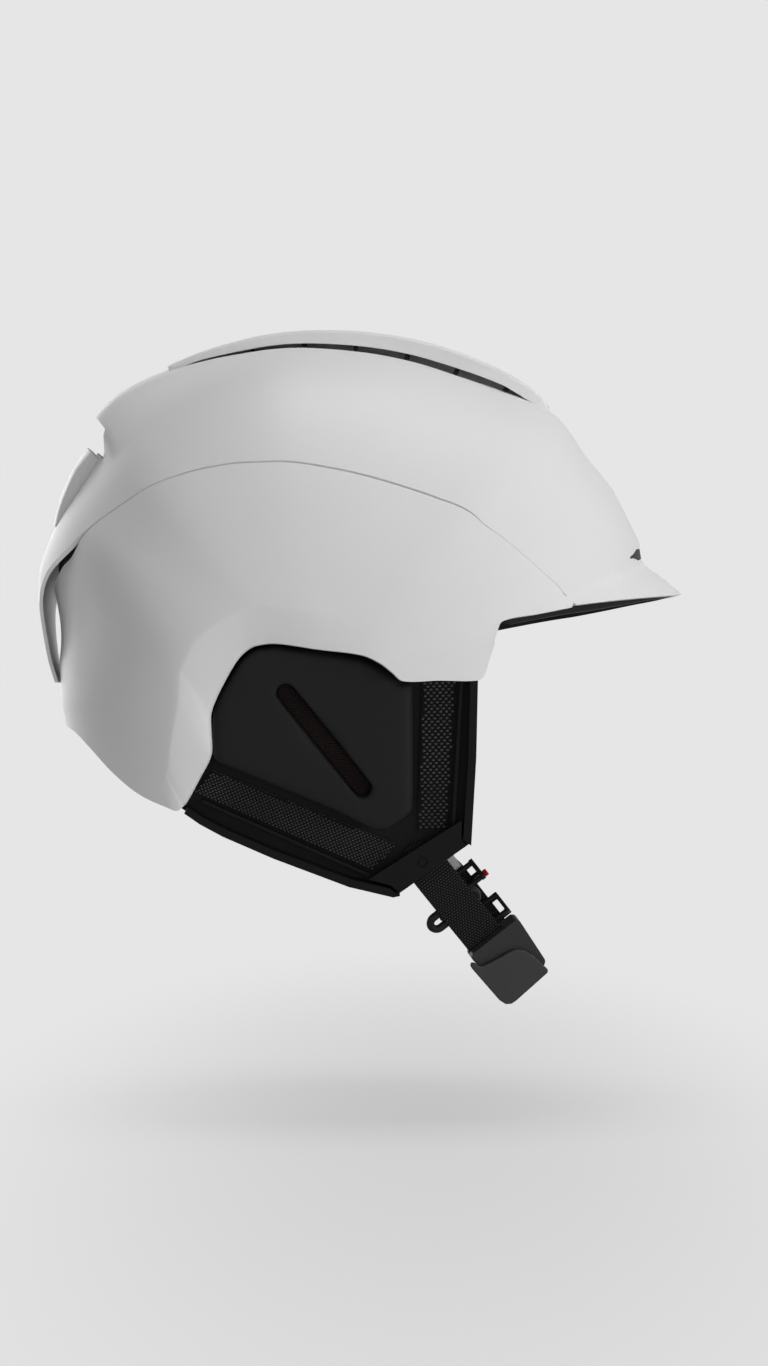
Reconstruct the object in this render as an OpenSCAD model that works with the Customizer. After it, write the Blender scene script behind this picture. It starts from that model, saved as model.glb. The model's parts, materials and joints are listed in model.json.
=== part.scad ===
// Ski helmet: two hard shells over a foam liner, with ear pads, a fit dial and a chin strap.
// Front is +X, the wearer's right is -Y, up is +Z. The origin is the head seat.

/* [Shell] */
// Half width of the shell where it is widest
shell_half_w = 107; // [104:0.5:110]
// Wall of the two moulded shells
shell_wall = 2.4; // [2:0.1:2.8]
// Wall of the tail, which stands clear of the lower shell
tail_wall = 1.6; // [1.2:0.1:1.8]
// Space left along the seam between the shells
seam_gap = 0.8; // [0.6:0.1:1.4]
// Depth to which the rim of the ear opening is scooped
ear_scoop = 6.3; // [3:0.1:7]
// Depth of the channel in the lower shell under the tail
tail_channel = 7.5; // [7:0.1:8]
// Rise of the deck's rear lip above the dome
lip_rise = 10; // [5:0.5:11]

/* [Spine and vents] */
// Half width of the spine cover
spine_half_w = 25; // [20:0.5:28]
// Height of the spine cover above the dome
spine_rise = 6.7; // [5.5:0.1:8]
// Height of the slot between the spine cover and the dome
slot_h = 2.6; // [2:0.1:3]
// Thickness of one grille rib
rib_t = 1.6; // [1:0.1:2.4]
// Thickness of the thin inserts below the shell
insert_t = 1.6; // [1.2:0.1:2]

/* [Liner and pads] */
// Thickness of the foam liner
foam_t = 22; // [18:0.5:24]
// Clearance between the shells and the foam liner
under_gap = 0.6; // [0.4:0.1:1]
// Depth to which bonded pieces are pressed into each other
bond = 0.3; // [0.2:0.05:0.4]
// Thickness of the brow and crown pads at their crowns
pad_t = 5; // [3:0.5:6]

/* [Ear pads] */
// Depth of the ear panel's face below the shell's widest line
pad_inset = 10; // [8:0.5:12]
// Lean of the ear pad, with its top outward
pad_tilt = 7.5; // [5:0.5:9]
// Thickness of the moulded ear panel
panel_t = 8.5; // [7:0.1:9]
// Width of the sloped edge of the ear panel
panel_bevel = 3.2; // [2:0.1:4]
// Thickness of the frame's base plate
frame_t = 3; // [2.4:0.1:4]
// Half width of the stadium slot in the ear panel
slot_half_w = 4.1; // [3:0.1:5]
// Thickness of the soft ring on the wearer's side
ring_t = 9; // [6:0.5:11]

/* [Chin strap] */
// Width of the chin strap
strap_w = 17; // [15:0.5:18]
// Thickness of all the webbing
web_t = 1.6; // [1.2:0.1:1.8]
// Lean of each strap towards the chin
strap_lean = 25; // [20:1:28]
// Radius of the strap rivets
rivet_r = 2.2; // [1.6:0.1:2.6]
// Radius of the round bars in the sliders and the receiver
bar_r = 1.3; // [1:0.1:1.6]
// Clearance round everything that moves on the straps
strap_play = 0.4; // [0.3:0.05:0.6]

/* [Buckle] */
// Length of the buckle tongue
tongue_len = 26; // [24:0.5:28]
// Thickness of the buckle tongue
tongue_t = 7.2; // [6:0.1:8]
// Thickness of the cover plate that releases the buckle
cover_t = 2.1; // [1.6:0.1:3]
// Thickness of the receiver plate
receiver_t = 4.6; // [4:0.1:6]
// Radius of the buckle magnets
magnet_r = 4; // [3:0.1:5]

/* [Fit dial] */
// Distance from the liner's nape to the two racks
rack_gap = 8.2; // [7:0.1:9.5]
// Thickness of the racks
rack_t = 1.6; // [1.2:0.1:1.8]
// Height of a rack without its teeth
rack_h = 5; // [4:0.1:6]
// Pitch radius of the pinion
pinion_r = 6; // [5.5:0.1:6.5]
// Radius of the dial knob
knob_r = 13; // [11:0.5:13.5]
// Thickness of the dial knob
knob_t = 8; // [6:0.5:9]
// Clearance round the racks and the pinion
rack_play = 0.5; // [0.4:0.05:0.7]

/* [Hidden] */
$fn = 40;
white = [0.93, 0.93, 0.92];
black = [0.09, 0.09, 0.1];
rubber = [0.14, 0.14, 0.15];
pale = [0.72, 0.72, 0.7];
metal = [0.7, 0.7, 0.72];
red = [0.75, 0.08, 0.08];

// The ear axis runs along Y through this point of the side view
mid_x = -7;
mid_z = -40;
// How much fuller than an ellipse the dome's sections are
fullness = 0.093;
// Side profile in the middle plane: fan angle about the ear axis, radius
profile = [[-30, 138], [0, 157], [15, 162], [16.4, 160], [19, 155.3], [20.6, 152], [21.8, 150.5],
    [23.7, 151.7], [25.7, 152.5], [28.8, 152.7], [32, 153.3], [35.5, 154.2], [38, 154],
    [41, 153.8], [44, 154.9], [47, 156.6], [50, 157.5],
    [54, 156.5], [58.5, 154], [64, 152], [70, 151], [86, 151], [99, 153],
    [104, 152.6], [111, 151.2], [116, 150.3], [122, 149.4], [126, 148.7], [130, 147],
    [133, 144.8], [136, 142.5], [141, 140.2], [146, 139.2], [151, 137.5], [156, 136], [160, 133.4],
    [165, 128.6], [169, 125],
    [174, 121.2], [179, 117.4], [184, 115.4], [187, 114.8], [200, 114], [230, 112]];
// Upper shell's edge: fan angle, roll angle from the right ear axis
seam = [[15, 43.5], [18.6, 43.5], [20.8, 44], [23, 43.2], [26.5, 41.3], [30.2, 40], [35.4, 38.2],
    [40.9, 37.3], [47, 35.7], [64, 35.1],
    [77, 35], [93, 36.1], [104, 37.8], [111, 39.9], [116, 41.5], [122, 43.6], [126, 45.2], [130, 47.3],
    [137.4, 52.2], [143.3, 56.3], [149.5, 60], [153.7, 63.5], [157, 67], [160.3, 71], [164, 75],
    [170, 79], [179.5, 82]];
// How far the tail is flattened straight across the back: fan angle, share
tail_flat = [[140, 0], [146, 0.03], [153.7, 0.16], [157, 0.26], [160.3, 0.34], [164, 0.48],
    [168, 0.5], [180, 0.5]];
// Edge of the vent openings in the upper shell: fan angle, distance beyond the spine's edge
vent_side = [[15, 18], [24, 16], [34, 12], [46, 1], [56, -5], [66, 1], [74, 1.6], [96, 1.6], [104, 1],
    [114.5, -5.5], [122, 5], [131, 14], [140, 8], [150, 2], [160, -5], [170, -11], [180, -14]];
brim_th = 15.1;
brim_sweep = 3.6;
vent_th = [22.4, 24.6];
slot_th = [56, 114.5];
gate_start = 129.8;
gate_th = [gate_start, gate_start + 3.8];
panel_reach = 15;
tail_th = 178.2;

function mix(a, b, t) = a + (b - a) * t;
function ease(a, b, x) = let (t = min(1, max(0, (x - a) / (b - a)))) t * t * (3 - 2 * t);
function seg(p, x, i = 0) = i >= len(p) - 2 || x < p[i + 1][0] ? i : seg(p, x, i + 1);
function slope(p, k) = let (a = p[max(0, k - 1)], b = p[min(len(p) - 1, k + 1)])
    (b[1] - a[1]) / (b[0] - a[0]);
// Smooth curve through the points of p
function curve(p, x0) =
    let (x = min(max(x0, p[0][0]), p[len(p) - 1][0]), i = seg(p, x), a = p[i], b = p[i + 1],
         h = b[0] - a[0], t = (x - a[0]) / h)
    (2 * t * t * t - 3 * t * t + 1) * a[1] + (t * t * t - 2 * t * t + t) * h * slope(p, i)
    + (3 * t * t - 2 * t * t * t) * b[1] + (t * t * t - t * t) * h * slope(p, i + 1);
// Values spread evenly between stations, each station with its count of steps
function spans(p) = [for (i = [0 : len(p) - 2]) for (k = [0 : p[i][1] - 1])
    mix(p[i][0], p[i + 1][0], k / p[i][1]), p[len(p) - 1][0]];
function near_roll(ps) = min(ps, 180 - ps);

function roll_c(ps) = sin(ps) * (1 + fullness * pow(cos(ps), 2));
function roll_s(ps) = cos(ps) * (1 + fullness * pow(sin(ps), 2));
function solve_roll(c, u, n) = n == 0 ? asin(min(1, u)) : solve_roll(c,
    u - (u * (1 + fullness - fullness * u * u) - c) / (1 + fullness - 3 * fullness * u * u), n - 1);
// Roll angle at which the dome's section has the share c of its profile radius
function roll_of(c) = solve_roll(min(c, 1), min(c, 1) / (1 + fullness), 6);
// Roll angle at which the dome is y away from the middle plane
function roll_at(y) = 90 - asin(y / shell_half_w / (1 + fullness * 0.9));
// Point of the dome at a fan angle and a roll angle, moved out by off and flattened across the back
function skin(th, ps, off = 0, flat = 0) =
    let (r = (curve(profile, th) + off) * mix(roll_c(ps), 1, flat))
    [mid_x + r * cos(th), -(shell_half_w + off) * roll_s(ps), mid_z + r * sin(th)];

// Closed solid between two grids of points. Cells for which gone is true are left out.
module grid_solid(outer, inner, gone = function (i, j) false) {
    n = len(outer) - 1;
    m = len(outer[0]) - 1;
    a = function (i, j) i * (m + 1) + j;
    b = function (i, j) (n + 1) * (m + 1) + i * (m + 1) + j;
    there = function (i, j) i >= 0 && j >= 0 && i < n && j < m && !gone(i, j);
    rim = function (p, q, u, v) [[q, p, u], [q, u, v]];
    faces = [for (i = [0 : n - 1]) for (j = [0 : m - 1]) if (there(i, j)) each concat(
        [[a(i, j), a(i + 1, j), a(i + 1, j + 1)], [a(i, j), a(i + 1, j + 1), a(i, j + 1)],
         [b(i, j), b(i + 1, j + 1), b(i + 1, j)], [b(i, j), b(i, j + 1), b(i + 1, j + 1)]],
        there(i, j - 1) ? [] : rim(a(i, j), a(i + 1, j), b(i, j), b(i + 1, j)),
        there(i + 1, j) ? [] : rim(a(i + 1, j), a(i + 1, j + 1), b(i + 1, j), b(i + 1, j + 1)),
        there(i, j + 1) ? [] : rim(a(i + 1, j + 1), a(i, j + 1), b(i + 1, j + 1), b(i, j + 1)),
        there(i - 1, j) ? [] : rim(a(i, j + 1), a(i, j), b(i, j + 1), b(i, j)))];
    polyhedron(concat([for (row = outer) each row], [for (row = inner) each row]), faces);
}

// Closed ring: each loop of points is joined to the next one, and the last to the first
module ring_solid(loops) {
    n = len(loops[0]);
    at = function (l, k) (l % len(loops)) * n + k % n;
    polyhedron([for (loop = loops) each loop],
        [for (l = [0 : len(loops) - 1]) for (k = [0 : n - 1]) each
            [[at(l, k), at(l, k + 1), at(l + 1, k + 1)], [at(l, k), at(l + 1, k + 1), at(l + 1, k)]]]);
}

// Upper shell
upper_ths = spans([[brim_th, 4], [vent_th[0], 1], [vent_th[1], 8], [slot_th[0], 13], [slot_th[1], 4],
    [gate_th[0], 1], [gate_th[1], 5], [gate_th[1] + panel_reach + 0.9, 9], [tail_th, 0]]);
side_cells = 7;
mid_cells = 4;
function vent_roll(th) = roll_at(spine_half_w + curve(vent_side, th));
function upper_roll(th, j) =
    j > side_cells + mid_cells ? 180 - upper_roll(th, 2 * side_cells + mid_cells - j) :
    j <= side_cells ? mix(curve(seam, th), vent_roll(th), j / side_cells) :
    mix(vent_roll(th), 180 - vent_roll(th), (j - side_cells) / mid_cells);
// The brim's edge sweeps back from its tip towards the seam
function upper_fan(i, ps) = upper_ths[i] + (i < 4 ? (1 - i / 4) * brim_sweep
    * pow(1 - (near_roll(ps) - seam[0][1]) / (90 - seam[0][1]), 2.6) : 0);
function lip(th, ps) = ease(98, 129, th) * (1 - ease(gate_th[0], gate_th[1], th))
    * ease(62, 76, near_roll(ps));
function upper_wall(th, ps) = mix(shell_wall, tail_wall, ease(147, 160, th)) + 2.4 * lip(th, ps);
function upper_point(i, j, depth) = let (ps = upper_roll(upper_ths[i], j), th = upper_fan(i, ps))
    skin(th, ps, lip_rise * lip(th, ps) - depth * upper_wall(th, ps), curve(tail_flat, th));
function in_range(x, r) = x > r[0] && x < r[1];
function is_vent(th) = in_range(th, vent_th) || in_range(th, slot_th) || in_range(th, gate_th);

module upper_shell() {
    cols = [0 : 2 * side_cells + mid_cells];
    color(white) grid_solid(
        [for (i = [0 : len(upper_ths) - 1]) [for (j = cols) upper_point(i, j, 0)]],
        [for (i = [0 : len(upper_ths) - 1]) [for (j = cols) upper_point(i, j, 1)]],
        function (i, j) j >= side_cells && j < side_cells + mid_cells
            && is_vent((upper_ths[i] + upper_ths[i + 1]) / 2));
}

// Lower shell: a strip from its top edge under the seam to its lower edge round the ears.
// Lower edge in the side view, from the brim's corner to the middle of the back
lower_edge = [[97.4, -4.9], [83.6, -7.7], [68.2, -10.9], [65.6, -15.9], [62.7, -25.8], [60.2, -33.6],
    [57.7, -35.5], [42, -35.5], [26.8, -35.7], [22.2, -32], [17.3, -28.3], [9.9, -25], [-8.2, -22.6],
    [-25.9, -20.1], [-34.1, -20.9], [-38.2, -22.9], [-42.4, -27.1], [-47, -34.5], [-51.6, -43.5],
    [-53.7, -49.7], [-53.7, -58], [-53.8, -67.1], [-59, -77.5], [-64.7, -87.6], [-67.4, -89.9],
    [-70.4, -89.1], [-83.4, -83.5], [-94.4, -75.3], [-105.9, -64.1], [-113.4, -57.5], [-120.9, -54]];
// Fan angles of the matching points on the top edge
lower_top = [19.5, 23, 27, 31.5, 37, 43, 48.5, 55, 62, 66.5, 71.5, 77.4, 90.5, 102, 109.5, 115, 121,
    126, 131, 135, 139, 142.5, 146, 148.5, 150, 151.5, 153.5, 156, 158.5, 159.6, 160];
// Top edge where it runs on under the tail: fan angle, roll angle
under_tail = [[148.5, 58.6], [150, 59.4], [152, 61.4], [154, 65], [156.5, 70], [158.5, 77],
    [159.6, 84], [160, 90]];
// Share of the scoop's depth along the lower edge, by point number
scoop_share = [[0, 0], [10, 0], [11, 0.08], [12, 0.3], [13, 0.55], [14, 0.67], [16, 0.87], [18, 1],
    [20, 1], [21, 0.95], [22, 0.7], [23, 0.3], [24, 0.08], [25, 0], [30, 0]];
// Width of the scoop as a share of the strip, by point number
scoop_width = [[0, 0.17], [11, 0.17], [13, 0.18], [16, 0.195], [18, 0.21], [20, 0.245], [21, 0.245],
    [22, 0.19], [23, 0.14], [25, 0.13], [30, 0.13]];
last_edge = len(lower_top) - 1;
function fan_of(x, z) = let (a = atan2(z - mid_z, x - mid_x)) a < -60 ? a + 360 : a;
function disc(th, ps) = [ps * cos(th), ps * sin(th)];
// Both edges on a flat disc whose polar coordinates are the fan angle and the roll angle
function top_disc(k) = let (th = lower_top[k])
    disc(th, th > 148 ? curve(under_tail, th) : curve(seam, th) - seam_gap * 0.6);
function halfway(p, q, r, s) = (9 * (q + r) - p - s) / 16;
function along(edge, x) = let (k = floor(x), n = last_edge) k == x ? edge(k) :
    halfway(edge(max(0, k - 1)), edge(k), edge(k + 1), edge(min(n, k + 2)));
function edge_disc(x) = let (p = along(function (k) lower_edge[k], x), th = fan_of(p[0], p[1]))
    disc(th, roll_of(norm([p[0] - mid_x, p[1] - mid_z])
        / (curve(profile, th) - ear_scoop * curve(scoop_share, x))));
// Channel under the tail, which fades out where the tail ends: fan angle, share of its depth
channel_share = [[147, 0], [150, 0.1], [153, 0.36], [154, 0.42], [156, 0.6], [158, 0.82], [160, 1],
    [162, 1.1], [166, 1.1], [170.6, 0.86], [174, 0.56], [178, 0.28], [180.5, 0.1], [183, 0]];
function channel(th, ps) = tail_channel * curve(channel_share, th) * ease(26, 60, near_roll(ps));
lower_rows = 6;
crease_row = 4;
function lower_point(i, x, depth) =
    let (cut = curve(scoop_width, x),
         t = i <= crease_row ? (1 - cut) * i / crease_row :
             1 - cut * (lower_rows - i) / (lower_rows - crease_row),
         p = mix(along(function (k) top_disc(k), x), edge_disc(x), t),
         a = atan2(p[1], p[0]), th = a < -60 ? a + 360 : a, ps = norm(p),
         scoop = ear_scoop * curve(scoop_share, x) * max(0, i - crease_row) / (lower_rows - crease_row))
    skin(th, ps, -scoop - channel(th, ps) - depth * shell_wall);
function mirrored(p) = [p[0], -p[1], p[2]];
function lower_row(i, depth) =
    let (right = [for (x = [0 : 0.5 : last_edge]) lower_point(i, x, depth)], n = len(right))
    concat(right, [for (k = [n - 2 : -1 : 0]) mirrored(right[k])]);

module lower_shell()
    color(white) grid_solid([for (i = [0 : lower_rows]) lower_row(i, 0)],
        [for (i = [0 : lower_rows]) lower_row(i, 1)]);

// Spine cover over the crown slot. Its height is a share of its full rise: fan angle, share
spine_top = [[51, 0.06], [54, 0.5], [58.5, 0.97], [64, 1.16], [70, 1.22], [76, 1.16], [84, 1.05],
    [92, 0.88], [99, 0.72], [104, 0.75], [111, 0.97], [116, 1.1]];
spine_under = [[48, -bond], [54, -bond * 0.5], [60, slot_h], [72, slot_h], [84, slot_h * 0.85],
    [95, slot_h * 0.58], [104, slot_h * 0.3], [111, slot_h * 0.23], [114, -bond], [117, -bond]];
spine_width = [[48, -8], [56, -3], [66, 0], [100, 0], [117, -4]];
spine_ths = spans([[51.5, 16], [115.8, 0]]);
function spine_roll(th, k) = mix(roll_at(spine_half_w + curve(spine_width, th)), 90, k);

module spine_cover() {
    ks = [0, 0.12, 0.5, 1, 1.5, 1.88, 2];
    round_off = [0.9, 0.15, 0, 0, 0, 0.15, 0.9];
    color(white) grid_solid(
        [for (th = spine_ths) [for (k = [0 : 6])
            skin(th, spine_roll(th, ks[k]), spine_rise * curve(spine_top, th) - round_off[k], 0.5)]],
        [for (th = spine_ths) [for (k = ks) let (ps = spine_roll(th, k))
            skin(th, ps, curve(spine_under, th) + lip_rise * lip(th, ps))]]);
}

// Grille under the slot. Its cross ribs stand up to the spine cover.
rib_first = 59;
rib_step = 8.6;
rib_count = 7;
rib_half = rib_t / 154 * 90 / PI;
insert_top = -shell_wall + bond;
insert_foot = insert_top - insert_t;
grille_ths = concat([slot_th[0] - 2], [for (k = [0 : rib_count - 1]) each let (th = rib_first + k * rib_step)
    [th - rib_half - 0.05, th - rib_half, th + rib_half, th + rib_half + 0.05, th + rib_step / 2]],
    [slot_th[1] + 1.5]);
function is_rib(i) = i > 0 && i < len(grille_ths) - 1 && ((i - 1) % 5 == 1 || (i - 1) % 5 == 2);
function rib_rise(th) = curve(spine_under, th) - 0.4;

module vent_grille() {
    inside = [-3, 2.4, 2.5, spine_half_w];
    rolls = function (th)
        let (near = [for (d = inside) roll_at(max(0, spine_half_w + curve(spine_width, th) - d))])
        concat(near, [for (k = [2 : -1 : 0]) 180 - near[k]]);
    color(rubber) grid_solid(
        [for (i = [0 : len(grille_ths) - 1]) let (th = grille_ths[i], r = rolls(th)) [for (j = [0 : 6])
            skin(th, r[j], is_rib(i) && j > 1 && j < 5 ? rib_rise(th) : insert_top)]],
        [for (th = grille_ths) let (r = rolls(th)) [for (j = [0 : 6]) skin(th, r[j], insert_foot)]]);
}

// Raised panel behind the gate opening. Its lists start with the fan angle past the gate
module tail_panel() {
    rise = [[0.6, 5.2], [4.8, 6], [9.2, 4.4], [13.4, 1.9], [panel_reach, 1]];
    side = [[0.6, 74.5], [7.4, 76.5], [panel_reach, 78]];
    shares = [0, 0.14, 0.5, 1, 1.5, 1.86, 2];
    round_off = [0.5, 0, 0, 0, 0, 0, 0.5];
    pasts = spans([[0.6, 8], [panel_reach, 0]]);
    roll = function (past, k) mix(curve(side, past), 90, k);
    color(white) grid_solid(
        [for (past = pasts) let (th = gate_th[1] + past) [for (k = [0 : 6])
            skin(th, roll(past, shares[k]), curve(rise, past) - round_off[k], curve(tail_flat, th))]],
        [for (past = pasts) let (th = gate_th[1] + past) [for (k = shares)
            skin(th, roll(past, k), -bond, curve(tail_flat, th))]]);
}

// Dark lining under the brim, and the insert behind the front vent
// Its lower and upper edges: roll angle, fan angle. At the sides it runs on below the lower shell's edge.
visor_edge = [[31, 19.5], [36, 18.4], [43.5, 17.1], [47, 16.6], [53, 16.1], [60, 15.75], [75, 15.25],
    [90, 15.35]];
visor_back = [[31, 24], [36, 21.4], [40, 19.4], [44, 19.2], [90, 19.4]];
module visor_lining() {
    rows = 3;
    rolls = spans([[31, 20], [149, 0]]);
    fan = function (i, ps) mix(curve(visor_edge, near_roll(ps)), curve(visor_back, near_roll(ps)), i / rows);
    color(rubber) grid_solid(
        [for (i = [0 : rows]) [for (ps = rolls) skin(fan(i, ps), ps, insert_top)]],
        [for (i = [0 : rows]) [for (ps = rolls) skin(fan(i, ps), ps, insert_foot)]]);
}

// The insert's middle stands up into the vent, just below the shell's face
module front_vent_insert() {
    side = vent_roll(vent_th[1]);
    ths = concat([for (d = [-0.8, 0.15, 0.25]) vent_th[0] + d],
        [for (d = [-0.25, -0.15, 0.8]) vent_th[1] + d]);
    near = [for (d = [-1.5, 0.3]) side + d];
    pss = concat(near, spans([[side + 0.8, 8], [179.2 - side, 0]]), [180 - near[1], 180 - near[0]]);
    raised = function (i, j) (i == 2 || i == 3) && j > 1 && j < len(pss) - 2;
    color(black) grid_solid(
        [for (i = [0 : 5]) [for (j = [0 : len(pss) - 1])
            skin(ths[i], pss[j], raised(i, j) ? -0.5 : insert_top)]],
        [for (i = [0 : 5]) [for (j = [0 : len(pss) - 1]) skin(ths[i], pss[j], insert_foot)]]);
}

// Foam liner with ports below the grille
liner_edge = [[20, 41], [24, 36], [30, 28], [45, 18.6], [60, 15.4], [90, 13.4], [120, 15.4], [135, 20.5],
    [150, 31], [160, 35], [170, 40.5], [178.5, 49]];
liner_ths = spans([[20, 2], [27, 5], [52, 18], [119, 12], [178.5, 0]]);
liner_top = -shell_wall - under_gap;
liner_foot = liner_top - foam_t;
liner_side = 6;
port_half_w = 16;
// Depth of the hollow behind the front inserts, and the liner's extra room behind the tail's channel
insert_room = 3;
tail_room = 0.8;
function liner_roll(th, j) =
    j > liner_side + 2 ? 180 - liner_roll(th, 2 * liner_side + 2 - j) :
    j <= liner_side ? mix(curve(liner_edge, th), roll_at(port_half_w), j / liner_side) :
    mix(roll_at(port_half_w), 180 - roll_at(port_half_w), (j - liner_side) / 2);
// Hollows in the liner's outside: under the inserts, and behind the channel of the lower shell
function liner_hollow(th, ps) = let (near = near_roll(ps))
    channel(th, ps) + tail_room * ease(144, 150, th) * ease(50, 58, near)
    + insert_room * (1 - ease(27, 31, th)) * ease(46, 54, near)
    + insert_t * ease(49, 53, th) * (1 - ease(117, 120, th)) * ease(62, 69, near);
function is_port(i, j) = (j == liner_side || j == liner_side + 1) && i >= 8 && i < 24 && i % 3 != 1;

// Bosses at these rows and columns of the liner's grid reach into the shells and hold them
function is_boss(i, j) = (i == 5 || i == 29) && (j == 1 || j == 4 || j == 10 || j == 13);

module foam_liner() {
    cols = [0 : 2 * liner_side + 2];
    color([0.2, 0.2, 0.21]) grid_solid(
        [for (i = [0 : len(liner_ths) - 1]) [for (j = cols) let (th = liner_ths[i], ps = liner_roll(th, j))
            skin(th, ps, is_boss(i, j) ? bond - shell_wall : liner_top - liner_hollow(th, ps))]],
        [for (th = liner_ths) [for (j = cols) skin(th, liner_roll(th, j), liner_foot)]],
        function (i, j) is_port(i, j));
}

// Crowned soft pad on the liner's inside. Its back starts this far inside the liner's true curve.
pad_sink = 0.2;
module soft_pad(th0, th1, ps0, ps1, n, m) {
    puff = [0, 0.55, 0.85, 1, 0.85, 0.55, 0];
    bulge = function (k, last) let (x = k / last * 6, i = min(5, floor(x))) mix(puff[i], puff[i + 1], x - i);
    rise = function (i, j) 1 + (pad_t - 1) * min(bulge(i, n), bulge(j, m));
    at = function (i, j, off) skin(mix(th0, th1, i / n), mix(ps0, ps1, j / m), liner_foot - off);
    grid_solid([for (i = [0 : n]) [for (j = [0 : m]) at(i, j, pad_sink)]],
               [for (i = [0 : n]) [for (j = [0 : m]) at(i, j, rise(i, j))]]);
}

module brow_pad() color(black) soft_pad(21, 35, 42, 138, 6, 18);
module crown_pads() color(black) {
    soft_pad(58, 118, 42, 62, 12, 6);
    soft_pad(58, 118, 118, 138, 12, 6);
    soft_pad(126, 150, 62, 118, 6, 12);
}

// Ear pads, in a frame with X forward, Y up the pad and Z outward. The datum is 20 mm below the head seat.
pad_datum = -20;
pad_out = shell_half_w - pad_inset;
module ear_place() translate([0, -pad_out, pad_datum]) rotate([90 + pad_tilt, 0, 0]) children();
module left_side() mirror([0, 1, 0]) children();
panel_mid = [-6, -41];
panel_edge = [[31, -64.9], [30.9, -40], [30.7, -17.2], [25.6, -17], [21.6, -13], [16.9, -9.6], [9.6, -6.3],
    [-8.2, -3.9], [-25.7, -1.4], [-33.7, -2.2], [-37.4, -4.1], [-41.2, -8], [-45.6, -15], [-50.2, -24],
    [-52.2, -30.2], [-52.4, -38], [-52.5, -46.8], [-51, -50], [-29.7, -58.9], [-2.9, -70], [14.8, -78.8],
    [20.6, -78.6], [28.1, -73.4], [30.5, -71]];
panel_n = len(panel_edge);
panel_loop = [for (k = [0 : panel_n - 1]) each
    [panel_edge[k], (panel_edge[k] + panel_edge[(k + 1) % panel_n]) / 2]];
// Stadium slot: its direction and the half length between its end centres
slot_turn = -51.5;
slot_half_len = 25.1;
function slot_reach(a, half_w) = let (u = abs(cos(a)), v = abs(sin(a)))
    v * slot_half_len > half_w * u ? half_w / v :
    slot_half_len * u + sqrt(max(0, half_w * half_w - pow(slot_half_len * v, 2)));
function slot_point(p, half_w) = let (d = p - panel_mid, a = atan2(d[1], d[0]))
    panel_mid + slot_reach(a - slot_turn, half_w) * [cos(a), sin(a)];
function panel_ring(f, z) = [for (p = panel_loop)
    let (q = mix(slot_point(p, slot_half_w), p, f)) [q[0], q[1], z]];

module ear_panel() color(black) ear_place() ring_solid([
    panel_ring(0, -panel_t), panel_ring(0, -1.6), panel_ring(0.07, -0.2), panel_ring(0.3, 0),
    panel_ring(0.62, -0.1), panel_ring(0.84, -0.7), panel_ring(0.93, -panel_bevel * 0.55),
    panel_ring(1, -panel_bevel - 0.8), panel_ring(1, -panel_t + 1.2), panel_ring(0.97, -panel_t)]);

frame_top = -panel_t - 4.1;
mesh_t = 4.5;
module ear_mesh() color(rubber) ear_place() translate([0, 0, -panel_t]) linear_extrude(mesh_t)
    polygon([for (p = panel_loop) slot_point(p, slot_half_w - 0.5)]);
module ear_foam() color([0.25, 0.25, 0.26]) ear_place() translate([0, 0, frame_top])
    linear_extrude(-panel_t - frame_top) polygon([for (p = panel_edge) mix(panel_mid, p, 0.93)]);

frame_top_y = 12.8;
frame_edge = [[46, frame_top_y], [54, 6], [58, -15], [57.4, -48.6], [55.4, -86], [25.6, -107.4], [22.8, -108],
    [4.3, -103.6], [-27.4, -91.5], [-48.5, -82.2], [-58, -77], [-67.5, -70.2], [-66, -62], [-58, -40],
    [-50, -10], [-40, 6], [-30, frame_top_y]];
lip_h = 7.1;
front_lip = [[56.4, -6], [58, -15], [57.4, -48.6], [55.4, -86], [52, -83.6], [54.1, -48.4], [54.7, -15],
    [53.2, -6]];
lower_lip = [[25.6, -107.4], [22.8, -108], [4.3, -103.6], [-27.4, -91.5], [-48.5, -82.2], [-58, -77],
    [-64.5, -72.4], [-63, -69.8], [-56.6, -74.2], [-47.1, -79.2], [-26.1, -88.4],
    [5.2, -100.4], [21.4, -104.2]];
front_rib = [[52, 2], [52, -16], [48.6, -79], [47.2, -79], [50.6, -16], [50.6, 2]];
lower_rib = [[-57, -67], [-57.5, -68.1], [12.5, -99.6], [13, -98.5]];
rib_h = 4;
frame_root = frame_top - frame_t / 2;
module ear_frame() color(rubber) difference() {
    ear_place() {
        translate([0, 0, frame_top - frame_t]) linear_extrude(frame_t) polygon(frame_edge);
        for (edge = [front_lip, lower_lip]) translate([0, 0, frame_root])
            linear_extrude(lip_h + frame_t / 2) polygon(edge);
        for (edge = [front_rib, lower_rib]) translate([0, 0, frame_root])
            linear_extrude(rib_h + frame_t / 2) polygon(edge);
    }
    rivet_at(-1) rivet_hole();
}

// Soft ring on the wearer's side of the frame, open round the ear
ear_mid = [-2, -38];
ear_hole = [27, 33];
ring_edge = [for (p = [for (k = [0 : len(frame_edge) - 1]) each
    [frame_edge[k], (frame_edge[k] + frame_edge[(k + 1) % len(frame_edge)]) / 2]]) mix(ear_mid, p, 0.9)];
function ring_loop(f, z) = [for (k = [len(ring_edge) - 1 : -1 : 0])
    let (p = ring_edge[k], a = atan2(p[1] - ear_mid[1], p[0] - ear_mid[0]),
         h = ear_mid + [ear_hole[0] * cos(a), ear_hole[1] * sin(a)], q = mix(h, p, f)) [q[0], q[1], z]];
module ear_ring() color(black) ear_place() translate([0, 0, frame_top - frame_t]) ring_solid([
    for (s = [[0, -0.3], [0.08, 0], [0.92, 0], [1, -0.3], [0.94, -0.7], [0.74, -0.95], [0.5, -1],
        [0.26, -0.95], [0.06, -0.7]]) ring_loop(s[0], ring_t * s[1])]);

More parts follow.
